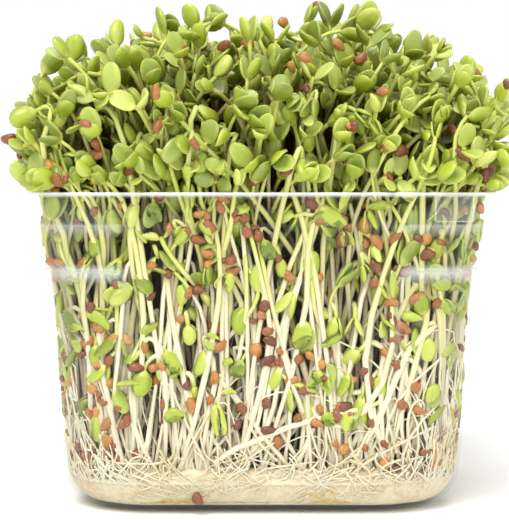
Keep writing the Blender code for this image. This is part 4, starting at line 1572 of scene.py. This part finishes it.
@dataclass
class GrowingMedium:
    """The felt pad, the mat of roots on it, and the loose roots round both."""

    punnet: Punnet
    bed: SproutBed
    seed: int = 5
    hair_rings: int = 12
    thread_sides: int = 4
    base_clear: float = 2.4 * MM
    pad_crown: float = 0.2 * MM
    pad_rough: float = 0.5 * MM
    mat_crown: float = 1.6 * MM
    mat_rough: float = 1.3 * MM
    mat_hairs: Hairs = Hairs(26 * MM, 0.24 * MM, hug=0.35 * MM, dip=0.12)
    mat_hair_count: int = 340
    pad_hairs: Hairs = Hairs(22 * MM, 0.18 * MM, hug=0.14 * MM, dip=0.04)
    pad_hair_count: int = 260
    stray_count: int = 300
    drape_count: int = 420
    knot_hairs: Hairs = Hairs(10 * MM, 0.27 * MM, hug=0.20 * MM)
    knot_hair_count: int = 16
    knots: tuple[tuple[float, float, float], ...] = (
        (-18.6 * MM, -43.5 * MM, 2.6 * MM),
        (16.6 * MM, -43.9 * MM, 3.2 * MM),
    )

    def __post_init__(self) -> None:
        """Makes the finishes of the pad, the mat, the loose roots and the knots."""
        self.sizes = self.punnet.sizes
        self.rng = np.random.default_rng(self.seed)
        self.felt, self.mat = PAD_FELT.material(), MAT_FIBRE.material()
        self.root, self.gold = ROOT_THREAD.material(), GOLDEN_ROOT.material()

    def level(self, z: float, clearance: float) -> Array:
        """The punnet's inside at height z, less a clearance."""
        p, s = self.punnet, self.sizes
        rings = p.base_rings(s.wall + clearance) + p.wall_rings(s.wall + clearance)
        above = next(i for i, ring in enumerate(rings) if ring[0, 2] > z)
        low, high = rings[above - 1], rings[above]
        return low + (high - low) * (z - low[0, 2]) / (high[0, 2] - low[0, 2])

    def slab(self, low: float, high: float, crown: float, rough: float) -> Shape:
        """A closed slab that fills the punnet between two heights, with an uneven side and top.

        The profile goes out along the underside, up the side and back over the top. Waves of 2 and
        7 mm push its points in, never out, so it stays clear of the wall.

        Args:
            low: The height of its underside.
            high: The height of its top.
            crown: The radius of the upper edge's rounding.
            rough: How far the waves push at most.

        Returns:
            The slab, closed in the middle of its underside and of its top.
        """
        rings = [self.level(low, self.sizes.gap) * [share, share, 1] for share in (0.3, 0.6, 0.85)]
        heights = np.linspace(low, high - crown, 9)
        rings += [self.level(z, self.sizes.gap) for z in heights]
        last = rings[-1]
        out = np.linalg.norm(last[:, :2], axis=1, keepdims=True)
        for turn in np.radians([25, 50, 75, 90]):
            scale = 1 - crown * (1 - math.cos(turn)) / out
            z = np.full((len(last), 1), high - crown + crown * math.sin(turn))
            rings.append(np.hstack([last[:, :2] * scale, z]))
        rings += [rings[-1] * [share, share, 1] for share in np.linspace(0.95, 0.08, 20)]
        points = np.concatenate([*rings, [[0, 0, low], [0, 0, high]]])
        push = wave_noise(points, 2.2 * MM, self.rng, 14) + wave_noise(points, 7 * MM, self.rng, 9)
        push = np.clip(0.5 + 0.25 * push, 0, 1) * rough
        push = (push * smooth_step(points[:, 2], low + 0.2 * MM, low + 1.5 * MM))[:, None]
        outward = unit(points * [1, 1, 0])
        side = smooth_step(np.abs(points[:, :2]).max(-1), 34 * MM, 38 * MM)[:, None]
        points = points - outward * side * push - [0, 0, 1] * (push * (1 - side))
        return Shape(points, Shapes.strip(len(rings), len(self.punnet.angles)))

    def in_base(self, paths: Array, hug: float) -> Array:
        """Keeps roots inside the punnet, also where its base is rounded.

        Below the top of the fillet, the wall's inside comes in by r - sqrt(r^2 - drop^2), where r
        is the fillet's inner radius and drop the depth below its top.
        """
        s = self.sizes
        inner = s.fillet - s.wall
        drop = np.clip(s.fillet - paths[..., 2], 0, inner)
        come_in = inner - np.sqrt(np.maximum(inner**2 - drop**2, 0))
        return s.keep_inside(paths, hug + come_in)

    def hairs(self, start: Array, kind: Hairs) -> Shape:
        """Fine roots that wander: each turns slowly left, right, up and down as it goes.

        Args:
            start: Where each root starts.
            kind: The sizes they share.

        Returns:
            The roots as thin tubes.
        """
        rng, rings, count = self.rng, self.hair_rings, len(start)
        heading = rng.uniform(0, 2 * math.pi, (count, 1))
        heading = heading + np.cumsum(rng.normal(0, 0.33, (count, rings)), 1)
        climb = np.cumsum(rng.normal(-kind.dip, 0.22, (count, rings)), 1)
        step = kind.reach * rng.uniform(0.5, 1.3, (count, 1)) / rings
        ways = np.stack([np.cos(heading), np.sin(heading), np.clip(climb, -0.9, 0.6)], -1)
        paths = start[:, None] + np.cumsum(ways * step[..., None], 1)
        paths[..., 2] = np.clip(paths[..., 2], self.base_clear, None)
        radii = kind.radius * rng.uniform(0.6, 1.2, (count, 1)) * np.linspace(1, 0.35, rings)
        return Shapes.tubes(self.in_base(paths, kind.hug), radii, self.thread_sides)

    def drawn(
        self, start: Array, rise: Array, before: Array, end: Array, radius: Array, hug: float
    ) -> Shape:
        """Roots along cubic curves, pressed inside the wall and thinner towards their ends."""
        times = np.linspace(0, 1, self.hair_rings)
        paths = self.in_base(Shapes.curves(start, rise, before, end, times), hug)
        return Shapes.tubes(paths, radius[:, None] * (1 - 0.62 * times), self.thread_sides)

    def beside(self, count: int, low: float, high: float, inwards: float) -> Array:
        """Places just inside the walls, between two heights."""
        out = 46 * MM - inwards * self.rng.uniform(0, 1, count) ** 2
        return np.column_stack([self.bed.around(count, out), self.rng.uniform(low, high, count)])

    def along_wall(self, place: Array, shift: Array) -> Array:
        """A shift sideways along the nearest wall."""
        flat = place[:, :2]
        on_x = (np.abs(flat[:, 0]) > np.abs(flat[:, 1]))[:, None]
        return np.where(on_x, np.array([0.0, 1.0]), np.array([1.0, 0.0])) * shift[:, None]

    def strays(self, count: int) -> Shape:
        """Long thin roots by the walls, that rise from the mat and cross the stems in wide bows."""
        rng = self.rng
        start = self.beside(count, 8.5 * MM, 15 * MM, 7 * MM)
        shift = rng.normal(0, 17 * MM, count)
        climb = rng.uniform(-4, 26, count) * MM
        end = start + np.column_stack([self.along_wall(start, shift), climb])
        end[:, 2] = np.maximum(end[:, 2], 9 * MM)
        lift = rng.uniform(5, 24, (2, count)) * MM
        lean = [self.along_wall(start, rng.normal(0, 8 * MM, count)) for _ in range(2)]
        rise, before = np.column_stack([lean[0], lift[0]]), np.column_stack([lean[1], -lift[1]])
        radius = rng.uniform(0.18, 0.42, count) * MM
        return self.drawn(start, rise, before, end, radius, 0.6 * MM)

    def drapes(self, count: int) -> Shape:
        """Thin roots that run down over the side of the pad and spread along the wall's foot."""
        rng = self.rng
        start = self.beside(count, 9 * MM, 17 * MM, 1.5 * MM)
        shift = rng.normal(0, 8 * MM, count)
        drop = rng.uniform(1.8, 6.5, count) * MM - start[:, 2]
        fall = np.column_stack([self.along_wall(start, shift), drop])
        curl = [self.along_wall(start, rng.normal(0, 5 * MM, count)) for _ in range(2)]
        rise = np.column_stack([curl[0], drop * 0.4])
        before = np.column_stack([curl[1], drop * 0.1])
        radius = rng.uniform(0.14, 0.30, count) * MM
        return self.drawn(start, rise, before, start + fall, radius, 0.16 * MM)

    def knot(self, centre: tuple[float, float, float]) -> Shape:
        """A flat tangle of curled golden roots at the foot of the front wall."""
        spread = self.rng.normal(0, 1, (self.knot_hair_count, 3)) * [2.4 * MM, 0.4 * MM, 0.6 * MM]
        return self.hairs(np.array(centre) + spread, self.knot_hairs)

    def build(self) -> list[bpy.types.Object]:
        """The pad, the mat, the loose roots and the golden knots."""
        pad_low, pad_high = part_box("growing_pad")[0][2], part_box("growing_pad")[1][2]
        mat_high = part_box("root_mat")[1][2]
        pad = self.slab(pad_low, pad_high, self.pad_crown, self.pad_rough)
        pad = make_piece("felt_pad", pad, [self.felt])
        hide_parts("growing_pad")
        sunk, thicker = pad_high - 0.3 * MM, mat_high + 0.6 * MM
        mat = self.slab(sunk, thicker, self.mat_crown, self.mat_rough)
        mat = make_piece("mat_of_roots", mat, [self.mat])
        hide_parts("root_mat")
        by_mat = self.beside(self.mat_hair_count, 8.5 * MM, 15 * MM, 9 * MM)
        on_mat = self.hairs(by_mat, self.mat_hairs)
        by_pad = self.beside(self.pad_hair_count, 4 * MM, 10 * MM, 3 * MM)
        on_pad = self.hairs(by_pad, self.pad_hairs)
        bows, falls = self.strays(self.stray_count), self.drapes(self.drape_count)
        shape = Shape.joined([on_mat, on_pad, bows, falls])
        roots = make_piece("loose_roots", Shape(shape.points, shape.triangles), [self.root])
        tangle = Shape.joined([self.knot(centre) for centre in self.knots])
        knots = make_piece("root_knots", Shape(tangle.points, tangle.triangles), [self.gold])
        return [pad, mat, roots, knots]


@dataclass(frozen=True)
class Lamp:
    """A wide soft lamp far off: its angles in degrees from the front, from the floor and across."""

    name: str
    azimuth: float
    elevation: float
    spread: float
    strength: float


@dataclass
class Studio:
    """A pale floor, soft light from above and in front, and the camera."""

    lamps: tuple[Lamp, ...] = (
        Lamp("key", azimuth=-20, elevation=56, spread=34, strength=2.6),
        Lamp("fill", azimuth=35, elevation=15, spread=60, strength=0.8),
        Lamp("back", azimuth=170, elevation=55, spread=40, strength=0.7),
    )
    surround_light: float = 0.62
    surround_shown: float = 1.0
    floor_half: float = 3.0
    floor_drop: float = 0.1 * MM
    distance: float = 520 * MM
    eye_height: float = 85 * MM
    aim_height: float = 58.3 * MM
    aside: float = -1.7 * MM
    front: float = -52.5 * MM
    lens: float = 147.0

    def floor(self) -> None:
        """A wide level plane just under the punnet."""
        mesh = bpy.data.meshes.new("floor")
        size, z = self.floor_half, -self.floor_drop
        corners = [(-size, -size, z), (size, -size, z), (size, size, z), (-size, size, z)]
        mesh.from_pydata(corners, [], [(0, 1, 2, 3)])
        kit = NodeKit("pale_floor")
        kit.shader.inputs["Base Color"].default_value = (0.97, 0.97, 0.97, 1.0)
        kit.set(Roughness=0.8)
        mesh.materials.append(kit.material)
        plane = bpy.data.objects.new("floor", mesh)
        bpy.context.scene.collection.objects.link(plane)

    def light(self, lamp: Lamp) -> None:
        """Sets up one lamp."""
        data = bpy.data.lights.new(lamp.name, "SUN")
        data.angle, data.energy = math.radians(lamp.spread), lamp.strength
        made = bpy.data.objects.new(lamp.name, data)
        made.rotation_euler = (math.radians(90 - lamp.elevation), 0, math.radians(lamp.azimuth))
        bpy.context.scene.collection.objects.link(made)

    def surround(self) -> None:
        """A white surround that shows white and lights the sprouts more softly than it shows."""
        world = bpy.data.worlds.new("surround")
        world.use_nodes = True
        tree = world.node_tree
        background, path = tree.nodes["Background"], tree.nodes.new("ShaderNodeLightPath")
        strength = tree.nodes.new("ShaderNodeMapRange")
        strength.inputs["To Min"].default_value = self.surround_light
        strength.inputs["To Max"].default_value = self.surround_shown
        background.inputs["Color"].default_value = (1, 1, 1, 1)
        tree.links.new(path.outputs["Is Camera Ray"], strength.inputs["Value"])
        tree.links.new(strength.outputs["Result"], background.inputs["Strength"])
        bpy.context.scene.world = world

    def camera(self) -> None:
        """A long lens, a little above the rim, looking slightly down."""
        data = bpy.data.cameras.new("camera")
        data.lens, data.sensor_width = self.lens, 36.0
        made = bpy.data.objects.new("camera", data)
        made.location = (self.aside, -self.distance, self.eye_height)
        tilt = math.atan2(self.eye_height - self.aim_height, self.distance + self.front)
        made.rotation_euler = (math.pi / 2 - tilt, 0, 0)
        bpy.context.scene.collection.objects.link(made)
        bpy.context.scene.camera = made

    def build(self) -> None:
        """Sets the floor, the lights, the surround and the camera."""
        self.floor()
        for lamp in self.lamps:
            self.light(lamp)
        self.surround()
        bpy.context.scene.view_settings.view_transform = "Standard"
        self.camera()


def main() -> None:
    """Builds every part of the dressed tray in order, and reports each."""
    logging.basicConfig(level=logging.INFO, format="%(message)s")
    Studio().build()
    sizes = TraySizes()
    punnet = Punnet(sizes, ClearFinish())
    bed = SproutBed(sizes, BedSizes())
    log.info("sprouts: %d of the solids, %d in all", len(bed.planned), len(bed.crop))
    tub, clumps = punnet.build(), bed.build()
    pieces = [tub, *clumps, *GrowingMedium(punnet, bed).build(), SeedHulls(bed).build()]
    for piece in pieces:
        log.info("%s: %d triangles", piece.name, len(piece.data.polygons))
    log.info("in all: %d triangles", sum(len(piece.data.polygons) for piece in pieces))


if __name__ == "__main__":
    main()
